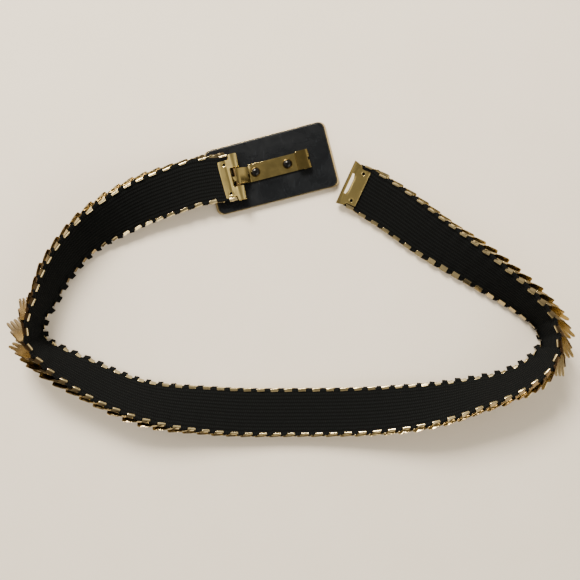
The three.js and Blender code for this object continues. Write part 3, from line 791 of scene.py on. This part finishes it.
            # The crowded inner lugs look narrower at the bends
            narrower = 0.38 * self.turned_up ** 2 * (1 - self.on_arm)
            x *= 1 - narrower * smooth_step(start, self.turn_end, reach)
        if reach <= start or opening == 0.0:
            y, z, out = reach, -TAB_UNDER, (0, -1)
        elif reach <= self.turn_end or not on_lug:
            full = opening * math.pi / 2
            radius = (self.turn_end - start) / full
            angle = min((reach - start) / radius, full)
            beyond = max(reach - self.turn_end, 0.0)
            out = (math.sin(angle), -math.cos(angle))
            y = start + radius * math.sin(angle) + beyond * math.cos(full)
            z = -TAB_UNDER + radius * (1 - math.cos(angle)) + beyond * math.sin(full)
        elif reach <= self.wall_end:
            y, z, out = start + fold, -TAB_UNDER + fold + reach - self.turn_end, (1, 0)
        else:
            pried, longer = self.pried(side)
            full = math.radians(self.TAB_FOLD + self.TAB_UNEVEN * wobble(self.plate, side)
                                - self.TAB_PRIED * pried)
            radius = (self.fold_end - self.wall_end) / full
            angle = min((reach - self.wall_end) / radius, full)
            beyond = max(reach - self.fold_end, 0.0) * (1 + longer)
            out = (math.cos(angle), math.sin(angle))
            y = start + fold - radius * (1 - math.cos(angle)) - beyond * math.sin(full)
            z = TAB_UNDER - fold + radius * math.sin(angle) + beyond * math.cos(full)
        y = side * (y - out[0] * depth + widened * min(reach / start, 1.0) ** 4)
        z = z - out[1] * depth
        low = min(max((TAB_UNDER - z) / (2 * TAB_UNDER), 0.0), 1.0) if on_lug else 1.0
        bow = self.crown * (1 - min(abs(y) / PLATE_HALF, 1.0) ** 2)
        return Vector((x, y, z - low * (self.slope * max(x + TAB_HALF, 0.0) + bow)))

    def pried(self, side):
        """How far the elastic pries a tab open, at the bends and on the catch's arm, and its extra length."""
        if side > 0:
            in_bend = self.turned_up ** 2 * (1 - self.on_arm)
            return in_bend + 0.6 * self.on_arm, 0.5 * in_bend
        far_arm = smooth_step(*FAR_ARM_START, self.plate) * (1 - smooth_step(*FAR_ARM_END, self.plate))
        pried = self.turned_up ** 6 * (1 - far_arm) - 0.55 * self.turned_up ** 2 * far_arm
        return pried, 0.6 * max(pried, 0.0) + 1.1 * self.on_arm * (1 - smooth_step(69, 73, self.plate))


def plate_slope(plate, sheet):
    """How steeply a plate leans out to pass just under the root of the one before it."""
    seen = plate_frame(plate).inverted() @ plate_frame(plate - 1)
    slopes = []
    for side, sunk in ((-1, 0.4), (0, 0.0), (1, 0.4)):
        corner = seen @ Vector((-TAB_HALF, side * PLATE_HALF, -TAB_UNDER - sheet - 0.08))
        slopes.append((-TAB_UNDER - sunk - corner.z) / (corner.x + TAB_HALF))
    return max(*slopes, 0.05)


class BELT_OT_elastic(bpy.types.Operator):
    """Make the ribbed elastic and the loops of thread along its edges"""
    bl_idname = "belt.elastic"
    bl_label = "Elastic"

    # How far the web reaches past the first plate's middle and past the last one's
    WEB_ENDS = (2.4, -5.0)
    HALF_TAB = 2.1
    STEPS_IN_GAP = 8
    # The inner edge swells outwards and inwards at the bends, and keeps this far off the table
    SWELL_OUT = 2.2
    SWELL_IN = 1.8
    OFF_TABLE = 0.35
    RIB_STATIONS = (0.0, 0.14, 0.36, 0.64, 0.86)
    LOOP_RADIUS = 0.42
    LOOP_PLACES = (0.24, 0.5, 0.76)

    def execute(self, context):
        self.elastic = context.scene.belt_elastic
        self.frames = [plate_frame(k, 0.0) for k in range(1, PLATE_COUNT + 1)]
        self.make_web()
        self.make_loops()
        return {"FINISHED"}

    def stations(self):
        """(plate index, x in its frame, place in the gap after it or None) along the strap."""
        spots = [(0, x, None) for x in (self.WEB_ENDS[0], 0.0, -self.HALF_TAB)]
        for k in range(PLATE_COUNT - 1):
            spots += [(k, None, step / self.STEPS_IN_GAP) for step in range(1, self.STEPS_IN_GAP)]
            spots += [(k + 1, x, None) for x in (self.HALF_TAB, 1.0, -1.0)]
            if k + 1 < PLATE_COUNT - 1:
                spots += [(k + 1, -self.HALF_TAB, None)]
        return spots + [(PLATE_COUNT - 1, self.WEB_ENDS[1], None)]

    def spot(self, station, y, z):
        """A point of the elastic's section at a station, before its edges swell."""
        index, x, gap = station
        here = self.frames[index]
        if gap is None:
            return here @ Vector((x, y, z))
        there = self.frames[index + 1]
        start, end = here @ Vector((-self.HALF_TAB, y, z)), there @ Vector((self.HALF_TAB, y, z))
        length = (end - start).length
        return eased(gap, start, end, *(-at.col[0].to_3d() * length for at in (here, there)))

    def swollen(self, station, y, z):
        """A point of the elastic, with the edges swelling out between two tabs and down to the table."""
        point = self.spot(station, y, z)
        index, _, gap = station
        if gap is None or not 0 < index < PLATE_COUNT - 2:
            return point
        share = smooth_step(10.0, ELASTIC_HALF, abs(y)) * min(3.0 * math.sin(math.pi * gap), 1.0)
        if share <= 0:
            return point
        across, inward = (self.frames[index].col[k].to_3d() for k in (1, 2))
        if y > 0:
            return point + across * (self.elastic.outer_bulge / MM * share)
        # The strap stands on its inner edge at the bends, which swells there, less so on the catch's arm
        swell = (1 - 0.6 * smooth_step(*CATCH_ARM_START, index)) * math.sin(bank_at(index + 1)) ** 2
        point = point - across * ((self.elastic.inner_bulge / MM + self.SWELL_OUT * swell) * share)
        point = point + inward * (self.SWELL_IN * share * swell)
        level = Vector((inward.x, inward.y, 0))
        floor = self.OFF_TABLE + (z + ELASTIC_TOP) * 0.3
        if point.z < floor and level.length > 0.05:
            point = point + level.normalized() * (floor - point.z)
            point.z = floor
        return point

    def make_web(self):
        ribs, depth = self.elastic.ribs, self.elastic.rib_depth / MM
        section = [((k + u) / ribs, ELASTIC_TOP - depth * (1 - math.sqrt(math.sin(math.pi * u))))
                   for k in range(ribs) for u in self.RIB_STATIONS]
        section.append((1.0, ELASTIC_TOP - depth))
        section += [(share, -ELASTIC_TOP) for share in (1.0, 0.82, 0.66, 0.5, 0.34, 0.18, 0.0)]
        rings = [[self.swollen(station, (1 - 2 * share) * ELASTIC_HALF, z) for share, z in section]
                 for station in self.stations()]
        middle = len(self.RIB_STATIONS) * (ribs // 2)
        lengths = [0.0]
        for a, b in zip(rings, rings[1:]):
            lengths.append(lengths[-1] + (b[middle] - a[middle]).length)
        weave = [(share, along) for along in lengths for share, _ in section]
        finish_piece("elastic_web", lofted(rings), woven_elastic(ribs), "strap",
                     ["elastic_band"], 80, weave=weave)

    def make_loops(self):
        """Half rings of thread that stand out from both edges between the tabs."""
        shapes = [self.thread_loop(index, place, side) for index in range(1, PLATE_COUNT - 2)
                  for side in (-1, 1) for place in self.LOOP_PLACES]
        finish_piece("elastic_loops", joined(*shapes), looped_thread(), "strap", (), 60)

    def thread_loop(self, index, place, side):
        thread, sides, steps = self.elastic.thread / MM / 2, 6, 6
        edge = side * ELASTIC_HALF
        middle = self.swollen((index, None, place), edge, 0)
        inner = self.swollen((index, None, place), edge - side * 2.5, 0)
        x = (self.swollen((index, None, place + 0.08), edge, 0) - middle).normalized()
        y = (middle - inner).normalized()
        y = (y - x * y.dot(x)).normalized()
        z = x.cross(y)
        rings = []
        for step in range(steps + 1):
            angle = math.pi * step / steps
            arm = x * math.cos(angle) + y * math.sin(angle)
            core = middle + y * -0.2 + arm * self.LOOP_RADIUS
            core.z = max(core.z, thread)
            turns = [2 * math.pi * k / sides for k in range(sides)]
            rings.append([core + (arm * math.cos(a) + z * math.sin(a)) * thread for a in turns])
        return lofted(rings)


class BELT_OT_hinge(bpy.types.Operator):
    """Make the hinge: the clamp on the elastic, the pin and the hook bracket"""
    bl_idname = "belt.hinge"
    bl_label = "Hinge"

    # Clamp: its leaf on the elastic, and the two arms that are rolled round the pin
    LEAF_START = -10.3
    LEAF_END = -3.35
    RAMP_START = -5.0
    WIDE_START = -2.6
    WIDE_HALF = 15.3
    SLOT_HALF = 6.4
    ROLL_END = -150
    # Bracket: the tongue round the pin, the slope down from it, the bar and the hook
    TONGUE = (-3.4, -0.5)
    BRACKET_ROLL_START = 215
    BARREL_END = -0.2
    RAMP_EDGE = 4.6
    BAR_START = 8.3
    BAR_HALF = 5.8
    HOLE_RADIUS = 1.85
    HOOK_END = 49.3
    HOOK_GAP = 2.5
    HOOK_LIP = 40.5
    HOOK_LIP_RISE = 0.4
    HOOK_HALF = 6.2
    NOTCH_HALF = 1.0
    NOTCH_DEPTH = 1.2
    # Section of the rim round a rivet's hole, as (radius, height over the bar)
    RIM =((2.2, -0.2), (3.35, -0.1), (3.2, 0.08), (2.95, 0.14), (2.6, 0.12), (2.3, 0.05))

    def execute(self, context):
        bevel = context.scene.belt_fittings.bevel / MM
        # 4c3a14 is the brown of toned patches, and also of the painted shade set point by point on the
        # bracket and the catch
        brass = gold_plated_brass(
            "rolled_brass_sheet", linear("e0cc86"), 0.14, linear("4c3a14"), 0.2, wave=0.1)
        wire = gold_plated_brass("drawn_wire", linear("8a7552"), 0.3, linear("40331e"), 0.6)
        bracket_here = pin_frame()
        clamp_here = bracket_here @ Matrix.Translation((0, CLAMP_SHIFT, 0))
        shape, toned_and_shaded = self.clamp(bevel)
        finish_piece("hinge_clamp_sheet", placed(shape, clamp_here), brass, "strap",
                     ["hinge_clamp"], toned_and_shaded=toned_and_shaded)
        shape, toned_and_shaded = self.bracket(bevel)
        finish_piece("hook_bracket_sheet", placed(shape, bracket_here), brass, "buckle",
                     ["hook_bracket"], toned_and_shaded=toned_and_shaded)
        finish_piece("hinge_wire", placed(self.pin(), clamp_here), wire, "strap", ["hinge_pin"], 50)
        return {"FINISHED"}

    def clamp(self, bevel):
        start = (self.RAMP_START, 0.0)
        line = FoldLine([
            (self.LEAF_START, -0.75), (-9.6, -0.55), (-6.6, 0.1), start,
            *arc((0, 0), ROLL_RADIUS, touch_angle(start, ROLL_RADIUS, -1), self.ROLL_END, 22)])
        end, leaf_end, wide = line.at[-1], line.length_at(self.LEAF_END), line.length_at(self.WIDE_START)
        half = [(0.0, -LEAF_HALF + 0.5), (0.5, -LEAF_HALF), (wide - 0.5, -LEAF_HALF),
                (wide, -LEAF_HALF - 0.5), (wide, -self.WIDE_HALF + 0.6), (wide + 0.6, -self.WIDE_HALF),
                (end, -self.WIDE_HALF), (end, -self.SLOT_HALF),
                *arc((leaf_end + 0.8, -self.SLOT_HALF + 0.8), 0.8, 270, 180, 3)]
        outline = half + [(s, -y) for s, y in reversed(half)]
        holes, cuts = punched_holes()
        crease = ((0.0, 6.3), (5.3, -6.3))

        def change(s, v):
            """The dimples round the holes, and the corner of the leaf that is pressed down."""
            away = -0.922 * (s - crease[0][0]) - 0.388 * (v - crease[0][1])
            pressed = 0.09 * max(away, 0.0) * (1 - smooth_step(5.0, 8.5, s))
            return -pressed - dimple(s, v)

        return folded_sheet(line, [outline, *holes], [*cuts, crease], bevel, change)

    def bracket(self, bevel):
        foot = (self.BAR_START, BAR_LEVEL)
        fold = (self.HOOK_GAP + BRASS) / 2
        centre = (self.HOOK_END - fold - BRASS / 2, BAR_LEVEL + fold)
        line = FoldLine([
            *arc((0, 0), ROLL_RADIUS, self.BRACKET_ROLL_START, touch_angle(foot, ROLL_RADIUS, 1), 20),
            (foot[0] - 0.5, foot[1] + 0.5), foot, (foot[0] + 0.6, foot[1]),
            (self.HOOK_LIP, BAR_LEVEL),
            *arc(centre, fold, -90, 90, 10),
            (self.HOOK_LIP + 2, BAR_LEVEL + 2 * fold),
            (self.HOOK_LIP, BAR_LEVEL + 2 * fold + self.HOOK_LIP_RISE)])
        end, hook = line.at[-1], line.length_at(self.HOOK_LIP + 4.2)
        notch = line.length_at(self.HOOK_END - self.NOTCH_DEPTH)
        back = line.length_at(self.HOOK_END - self.NOTCH_DEPTH, notch + 0.5)
        barrel, ramp_end = line.length_at(self.BARREL_END), line.length_at(self.BAR_START, 6.0)
        tip = [(hook - 1.0, -self.BAR_HALF), (hook, -self.HOOK_HALF),
               (end - 0.8, -self.HOOK_HALF), (end, -self.HOOK_HALF + 0.8)]
        low, high = self.TONGUE
        outline = [(0.3, low), (barrel - 0.3, low), (barrel, low - 0.3), (barrel, -self.BAR_HALF + 0.2),
                   (barrel + 0.2, -self.BAR_HALF), *tip, *((s, -y) for s, y in reversed(tip)),
                   (ramp_end + 0.9, self.BAR_HALF), (ramp_end - 0.2, self.RAMP_EDGE),
                   (barrel + 0.2, self.RAMP_EDGE), (barrel, self.RAMP_EDGE - 0.2), (barrel, high + 0.3),
                   (barrel - 0.3, high), (0.3, high), (0.0, high - 0.3), (0.0, low + 0.3)]
        holes = [[(notch, -self.NOTCH_HALF), (back, -self.NOTCH_HALF),
                  (back, self.NOTCH_HALF), (notch, self.NOTCH_HALF)]]
        holes += [arc((line.length_at(x, 9.0), 0), self.HOLE_RADIUS, 0, 337.5, 15) for x in HEAD_PLACES]

        def tone_and_shade(s, _):
            """The hook and the slope up from the bar to the pin are painted darker, a painted shade on the
            tilted sheet; the rest takes an even tone.
            """
            slope = smooth_step(barrel - 0.5, barrel + 0.5, s) * (1 - smooth_step(ramp_end - 1, ramp_end, s))
            return max(0.44, 0.74 * smooth_step(hook - 0.5, hook + 1.5, s), 0.6 * slope)

        body, toned_and_shaded = folded_sheet(line, [outline, *holes], [], bevel, tone_and_shade=tone_and_shade)
        shape = joined(body, *[self.rim(x) for x in HEAD_PLACES])
        # The rims round the rivets are painted fully brown, a painted shade that dims their bright ring of
        # reflection
        return shape, toned_and_shaded + [1.0] * (len(shape[0]) - len(toned_and_shaded))

    def rim(self, x):
        """The burnished rim that a rivet's head has pressed up round its hole."""
        angles = [-2 * math.pi * k / 28 for k in range(28)]
        top = BAR_LEVEL + BRASS / 2
        return lofted([[Vector((x + r * math.cos(a), r * math.sin(a), top + h)) for r, h in self.RIM]
                       for a in angles], endless=True)

    def pin(self):
        half = self.WIDE_HALF
        profile = ((0.9, -half), (1.35, -half + 0.12), (1.7, -half + 0.45), (1.7, half - 0.45),
                   (1.35, half - 0.12), (0.9, half))
        return placed(turned(profile, 28), Matrix.Rotation(-math.pi / 2, 4, "X"))


class BELT_OT_buckle(bpy.types.Operator):
    """Make the buckle: its shell, its lacquered back and the heads of the rivets"""
    bl_idname = "belt.buckle"
    bl_label = "Buckle"

    RIM = 0.35
    RIM_TOP = 3.2
    FLOOR = 1.0
    GAP = 0.12
    BACK_TOP = 4.3
    FLARE = (1.2, 0.2)
    FAR_END_WIDER = 0.5
    POST_RADIUS = 1.4
    POST_GAP = 0.3
    HEAD_RISE = 1.75

    def execute(self, context):
        fittings = context.scene.belt_fittings
        self.half_x, self.half_y = fittings.buckle_length / MM / 2, fittings.buckle_width / MM / 2
        self.corner = fittings.corner / MM
        here = pin_frame() @ Matrix.Translation((PIN_OFFSET, 0, -PIN_HEIGHT))
        gold = gold_plated_brass("polished_gold_plate", linear("a8996f"), 0.18, linear("5a4d30"), 0.4)
        rim, top = self.RIM, self.RIM_TOP
        shell = self.stacked(
            (1.2, 0.0), (0.45, 0.18), (0.1, 0.5), (0.0, 0.8), (0.0, top - 0.15), (0.08, top - 0.03),
            (0.17, top), (rim - 0.08, top - 0.03), (rim, top - 0.15), (rim, self.FLOOR + 0.05))
        finish_piece("buckle_shell", placed(shell, here), gold, "buckle", ["buckle_front"])
        inset, foot, top = rim + self.GAP, self.FLOOR + self.GAP, self.BACK_TOP
        back = self.stacked(
            (inset + 0.1, foot), (inset, foot + 0.1), (inset, top - 0.75), (inset + 0.1, top - 0.38),
            (inset + 0.33, top - 0.12), (inset + 0.75, top))
        finish_piece("buckle_back_sheet", placed(back, here), black_lacquer(), "buckle",
                     ["buckle_back"])
        head = self.head(fittings.head_radius / MM)
        heads = [placed(head, here @ Matrix.Translation((x - PIN_OFFSET, 0, 0))) for x in HEAD_PLACES]
        finish_piece("rivet_heads", joined(*heads), black_enamel(), "buckle", (), 50)
        return {"FINISHED"}

    def stacked(self, *section):
        """A skin over loops, each given by its inset from the buckle's outline and its height."""
        return lofted([self.loop(inset, z) for inset, z in section])

    def loop(self, inset, z):
        """A rounded rectangle inside the buckle's outline, whose walls lean in towards the back."""
        radius = max(self.corner - inset, 0.5)
        lean = min(max(z - 0.8, 0.0) / (self.RIM_TOP - 0.8), 1.0)
        x = self.half_x - inset - radius - self.FLARE[0] * lean
        y = self.half_y - inset - radius - self.FLARE[1] * lean
        corners = [(x, y + self.FAR_END_WIDER, 0), (-x, y, 90), (-x, -y, 180), (x, -y, 270)]
        return [Vector((*p, z)) for cx, cy, a in corners for p in arc((cx, cy), radius, a, a + 90, 8)]

    def head(self, radius):
        """A domed head on a post through the bracket's hole."""
        foot = self.BACK_TOP + 2 * self.POST_GAP + BRASS
        profile = [(self.POST_RADIUS, self.BACK_TOP - 0.5), (self.POST_RADIUS, foot - 0.02),
                   (radius - 0.1, foot), (radius, foot + 0.12)]
        profile += [(radius * math.cos(a), foot + 0.25 + self.HEAD_RISE * math.sin(a))
                    for a in (math.radians(k * 90 / 8) for k in range(8))]
        return turned([*profile, (0.08, foot + 0.25 + self.HEAD_RISE)], 32)


class BELT_OT_catch(bpy.types.Operator):
    """Make the folded catch at the other end, with its slot for the hook"""
    bl_idname = "belt.catch"
    bl_label = "Catch"

    LENGTH = 12.7
    SHOULDER_HALF = 14.2
    WIDE_HALF = 15.6
    STEP = (5.9, 7.6)
    SLOT = (8.2, 11.2)
    SLOT_HALF = 7.2
    # The upper leaf's slot is narrower: a wider bar at the free edge, and on the strap's side a lip that
    # curves in over its last few millimetres at each end
    BAR_WIDER = 0.7
    LIP_OVER = 0.3
    LIP_CURVE = 0.8
    LIP_BEND = 3.2
    LIP_WIDTH = 1.6
    LIP_RISE = 0.26

    def execute(self, context):
        shape, toned_and_shaded = self.shape(context.scene.belt_fittings.bevel / MM)
        finish_piece("catch_sheet", placed(shape, catch_frame()), bpy.data.materials["rolled_brass_sheet"],
                     "strap", ["catch_clamp"], toned_and_shaded=toned_and_shaded)
        return {"FINISHED"}

    def half_width(self, x):
        places = ((0.0, LEAF_HALF), (self.STEP[0], LEAF_HALF), (self.STEP[1], self.SHOULDER_HALF),
                  (self.LENGTH + BRASS, self.WIDE_HALF))
        for (x1, w1), (x2, w2) in zip(places, places[1:]):
            if x <= x2:
                return w1 + (w2 - w1) * max(x - x1, 0) / (x2 - x1)
        return self.WIDE_HALF

    def shape(self, bevel):
        level = TAB_UNDER + BRASS / 2
        centre = self.LENGTH - level - BRASS / 2
        upper = [(x, level) for x in (0.0, 3.0, *self.STEP, 9.4)]
        lower = [(x, -level) for x in (9.4, *reversed(self.STEP))]
        line = FoldLine([*upper, *arc((centre, 0), level, 90, -90, 14), *lower])
        edge = [(0.0, -LEAF_HALF + 0.5), (0.5, -LEAF_HALF)]
        edge += [(s, -self.half_width(point.x)) for s, point in list(zip(line.at, line.points))[2:]]
        outline = edge + [(s, -y) for s, y in reversed(edge)]
        first, last = line.length_at(self.SLOT[0]), line.length_at(self.SLOT[1])
        back_last = line.length_at(self.SLOT[1], last + 0.8)
        back_first = line.length_at(self.SLOT[0], last + 0.8)
        h = self.SLOT_HALF

        def lip_edge(y):
            """The slot's edge on the strap's side, which comes nearer to the other edge at its ends."""
            return first + self.LIP_OVER + self.LIP_CURVE * smooth_step(h - self.LIP_BEND, h, abs(y))

        places = [h * k / 9 for k in range(-9, 10)]
        bar = last - self.BAR_WIDER
        slots = [[(bar, -h), (bar, h), *((lip_edge(y), y) for y in reversed(places))],
                 [(back_last, -h), (back_first, -h), (back_first, h), (back_last, h)]]
        cuts = []
        for behind in (0.3, 0.7, 1.1, self.LIP_WIDTH):
            lip = [(lip_edge(y) - behind, y) for y in (*places, h + 0.6)]
            cuts += zip(lip, lip[1:])
        holes, rings = punched_holes()

        def change(s, y):
            """The slot's edge on the strap's side is turned up a little, and the holes are dimpled."""
            from_edge = s - lip_edge(y)
            near = min(max(from_edge / self.LIP_WIDTH + 1, 0.0), 1.0) if from_edge <= 0.3 else 0.0
            lip = self.LIP_RISE * near * (1 - smooth_step(h - 0.6, h + 0.6, abs(y)))
            return lip - dimple(s, y)

        def tone_and_shade(s, y):
            """The rolled bar between the slot and the free edge is painted browner, a painted dark
            reflection, most along the slot and less past its ends; the rest takes an even tone.
            """
            on_bar = smooth_step(last - 0.4, last + 0.2, s)
            on_bar *= 1 - smooth_step(back_last - 0.4, back_last + 0.2, s)
            at_slot = 1 - smooth_step(h - 1, h + 1.5, abs(y))
            return 0.32 + (0.4 + 0.2 * at_slot) * on_bar

        return folded_sheet(line, [outline, *slots, *holes], cuts + rings, bevel, change, tone_and_shade)


class BELT_OT_stage(bpy.types.Operator):
    """Make the pale table, the soft light and the camera straight over the belt"""
    bl_idname = "belt.stage"
    bl_label = "Stage"

    TABLE_HALF = 1.5
    LAMP_PLACE = (-0.45, 1.1, 1.15)
    LAMP_SIDE = 0.55
    # How bright the room is, from the level of the table up to straight overhead
    ROOM = ((0.0, 0.1), (0.2, 0.25), (0.4, 1.0), (0.6, 0.95), (0.8, 0.65), (0.92, 0.4), (1.0, 0.22))
    # Whoever stands on the near side darkens it, and two walls carry lit panels
    NEAR_SIDE = (0.0, -1.0, -0.35)
    PANELS = ((0.55, -0.55, 0.63), (-0.62, 0.62, 0.48))

    def execute(self, context):
        self.stage, self.collection = context.scene.belt_stage, context.scene.collection
        self.make_table()
        self.make_lamp()
        context.scene.world = self.make_room()
        context.scene.camera = self.make_camera()
        return {"FINISHED"}

    def hold(self, name, data, place):
        holder = bpy.data.objects.new(name, data)
        holder.location = place
        self.collection.objects.link(holder)
        return holder

    def make_camera(self):
        stage, shift = self.stage, table_shift().translation * MM
        camera = bpy.data.cameras.new("camera")
        camera.sensor_width = 36.0
        camera.sensor_fit = "HORIZONTAL"
        camera.lens = camera.sensor_width * stage.camera_height / stage.view_width
        camera.clip_start = 0.01
        return self.hold("camera", camera, (shift.x, shift.y, stage.camera_height))

    def make_table(self):
        half = self.TABLE_HALF
        corners = [(-half, -half, 0), (half, -half, 0), (half, half, 0), (-half, half, 0)]
        mesh = mesh_of(corners, [(0, 1, 2, 3)])
        mesh.materials.append(matte_paper())
        table = self.hold("table", mesh, (0, 0, -0.0003))

    def make_lamp(self):
        lamp = bpy.data.lights.new("lamp", "AREA")
        lamp.shape = "RECTANGLE"
        lamp.size, lamp.size_y = self.LAMP_SIDE, self.LAMP_SIDE
        lamp.energy = self.stage.lamp_power
        lamp.color = linear("fff3e2")[:3]
        holder = self.hold("lamp", lamp, self.LAMP_PLACE)
        holder.rotation_euler = (-holder.location).to_track_quat("-Z", "Y").to_euler()

    def make_room(self):
        """Lit walls all round, under a ceiling that is dark overhead."""
        world = bpy.data.worlds.new("room")
        world.use_nodes = True
        tree = world.node_tree
        way = add_node(tree, "TexCoord", output="Generated")
        height = add_node(tree, "SeparateXYZ", {"Vector": way}, output="Z")
        bright = add_node(tree, "ValToRGB", {"Fac": height}, output="Color")
        ramp = bright.node.color_ramp
        while len(ramp.elements) < len(self.ROOM):
            ramp.elements.new(0.5)
        for element, (place, value) in zip(ramp.elements, self.ROOM):
            element.position = place
            element.color = (value, value, value, 1.0)
        light = add_node(tree, "Math", {0: bright, 1: self.stage.room_light}, operation="MULTIPLY")
        nearer = add_node(tree, "VectorMath", {0: way, 1: self.NEAR_SIDE}, output="Value",
                          operation="DOT_PRODUCT")
        shade = add_node(tree, "MapRange", {
            "Value": nearer, "From Min": 0.1, "From Max": 0.5, "To Min": 1.0, "To Max": 0.4})
        light = add_node(tree, "Math", {0: light, 1: shade}, operation="MULTIPLY")
        for direction in self.PANELS:
            facing = add_node(tree, "VectorMath", {0: way, 1: direction}, output="Value",
                              operation="DOT_PRODUCT")
            panel = add_node(tree, "MapRange", {
                "Value": facing, "From Min": 0.88, "From Max": 0.96, "To Max": self.stage.panel_light})
            light = add_node(tree, "Math", {0: light, 1: panel}, operation="ADD")
        background = tree.nodes["Background"]
        background.inputs["Color"].default_value = linear("fff4e3")
        tree.links.new(light, background.inputs["Strength"])
        return world


class BELT_PT_panel(bpy.types.Panel):
    """The belt's sizes and the buttons that make its pieces"""
    bl_idname = "BELT_PT_panel"
    bl_label = "Stretch Metal Belt"
    bl_space_type = "VIEW_3D"
    bl_region_type = "UI"
    bl_category = "Belt"

    def draw(self, context):
        for name in SETTINGS:
            group = getattr(context.scene, name)
            box = self.layout.box()
            for key in group.__annotations__:
                box.prop(group, key)
        for operator in OPERATORS:
            self.layout.operator(operator.bl_idname)


SETTINGS = {
    "belt_plates": BeltPlates,
    "belt_elastic": BeltElastic,
    "belt_fittings": BeltFittings,
    "belt_stage": BeltStage,
}
OPERATORS = (BELT_OT_plates, BELT_OT_elastic, BELT_OT_hinge, BELT_OT_buckle, BELT_OT_catch, BELT_OT_stage)


def register():
    for kind in (*SETTINGS.values(), *OPERATORS, BELT_PT_panel):
        bpy.utils.register_class(kind)
    for name, group in SETTINGS.items():
        setattr(bpy.types.Scene, name, PointerProperty(type=group))


def unregister():
    for name in SETTINGS:
        delattr(bpy.types.Scene, name)
    for kind in reversed((*SETTINGS.values(), *OPERATORS, BELT_PT_panel)):
        bpy.utils.unregister_class(kind)


def main():
    register()
    bpy.ops.belt.plates()
    bpy.ops.belt.elastic()
    bpy.ops.belt.hinge()
    bpy.ops.belt.buckle()
    bpy.ops.belt.catch()
    bpy.ops.belt.stage()


if __name__ == "__main__":
    main()
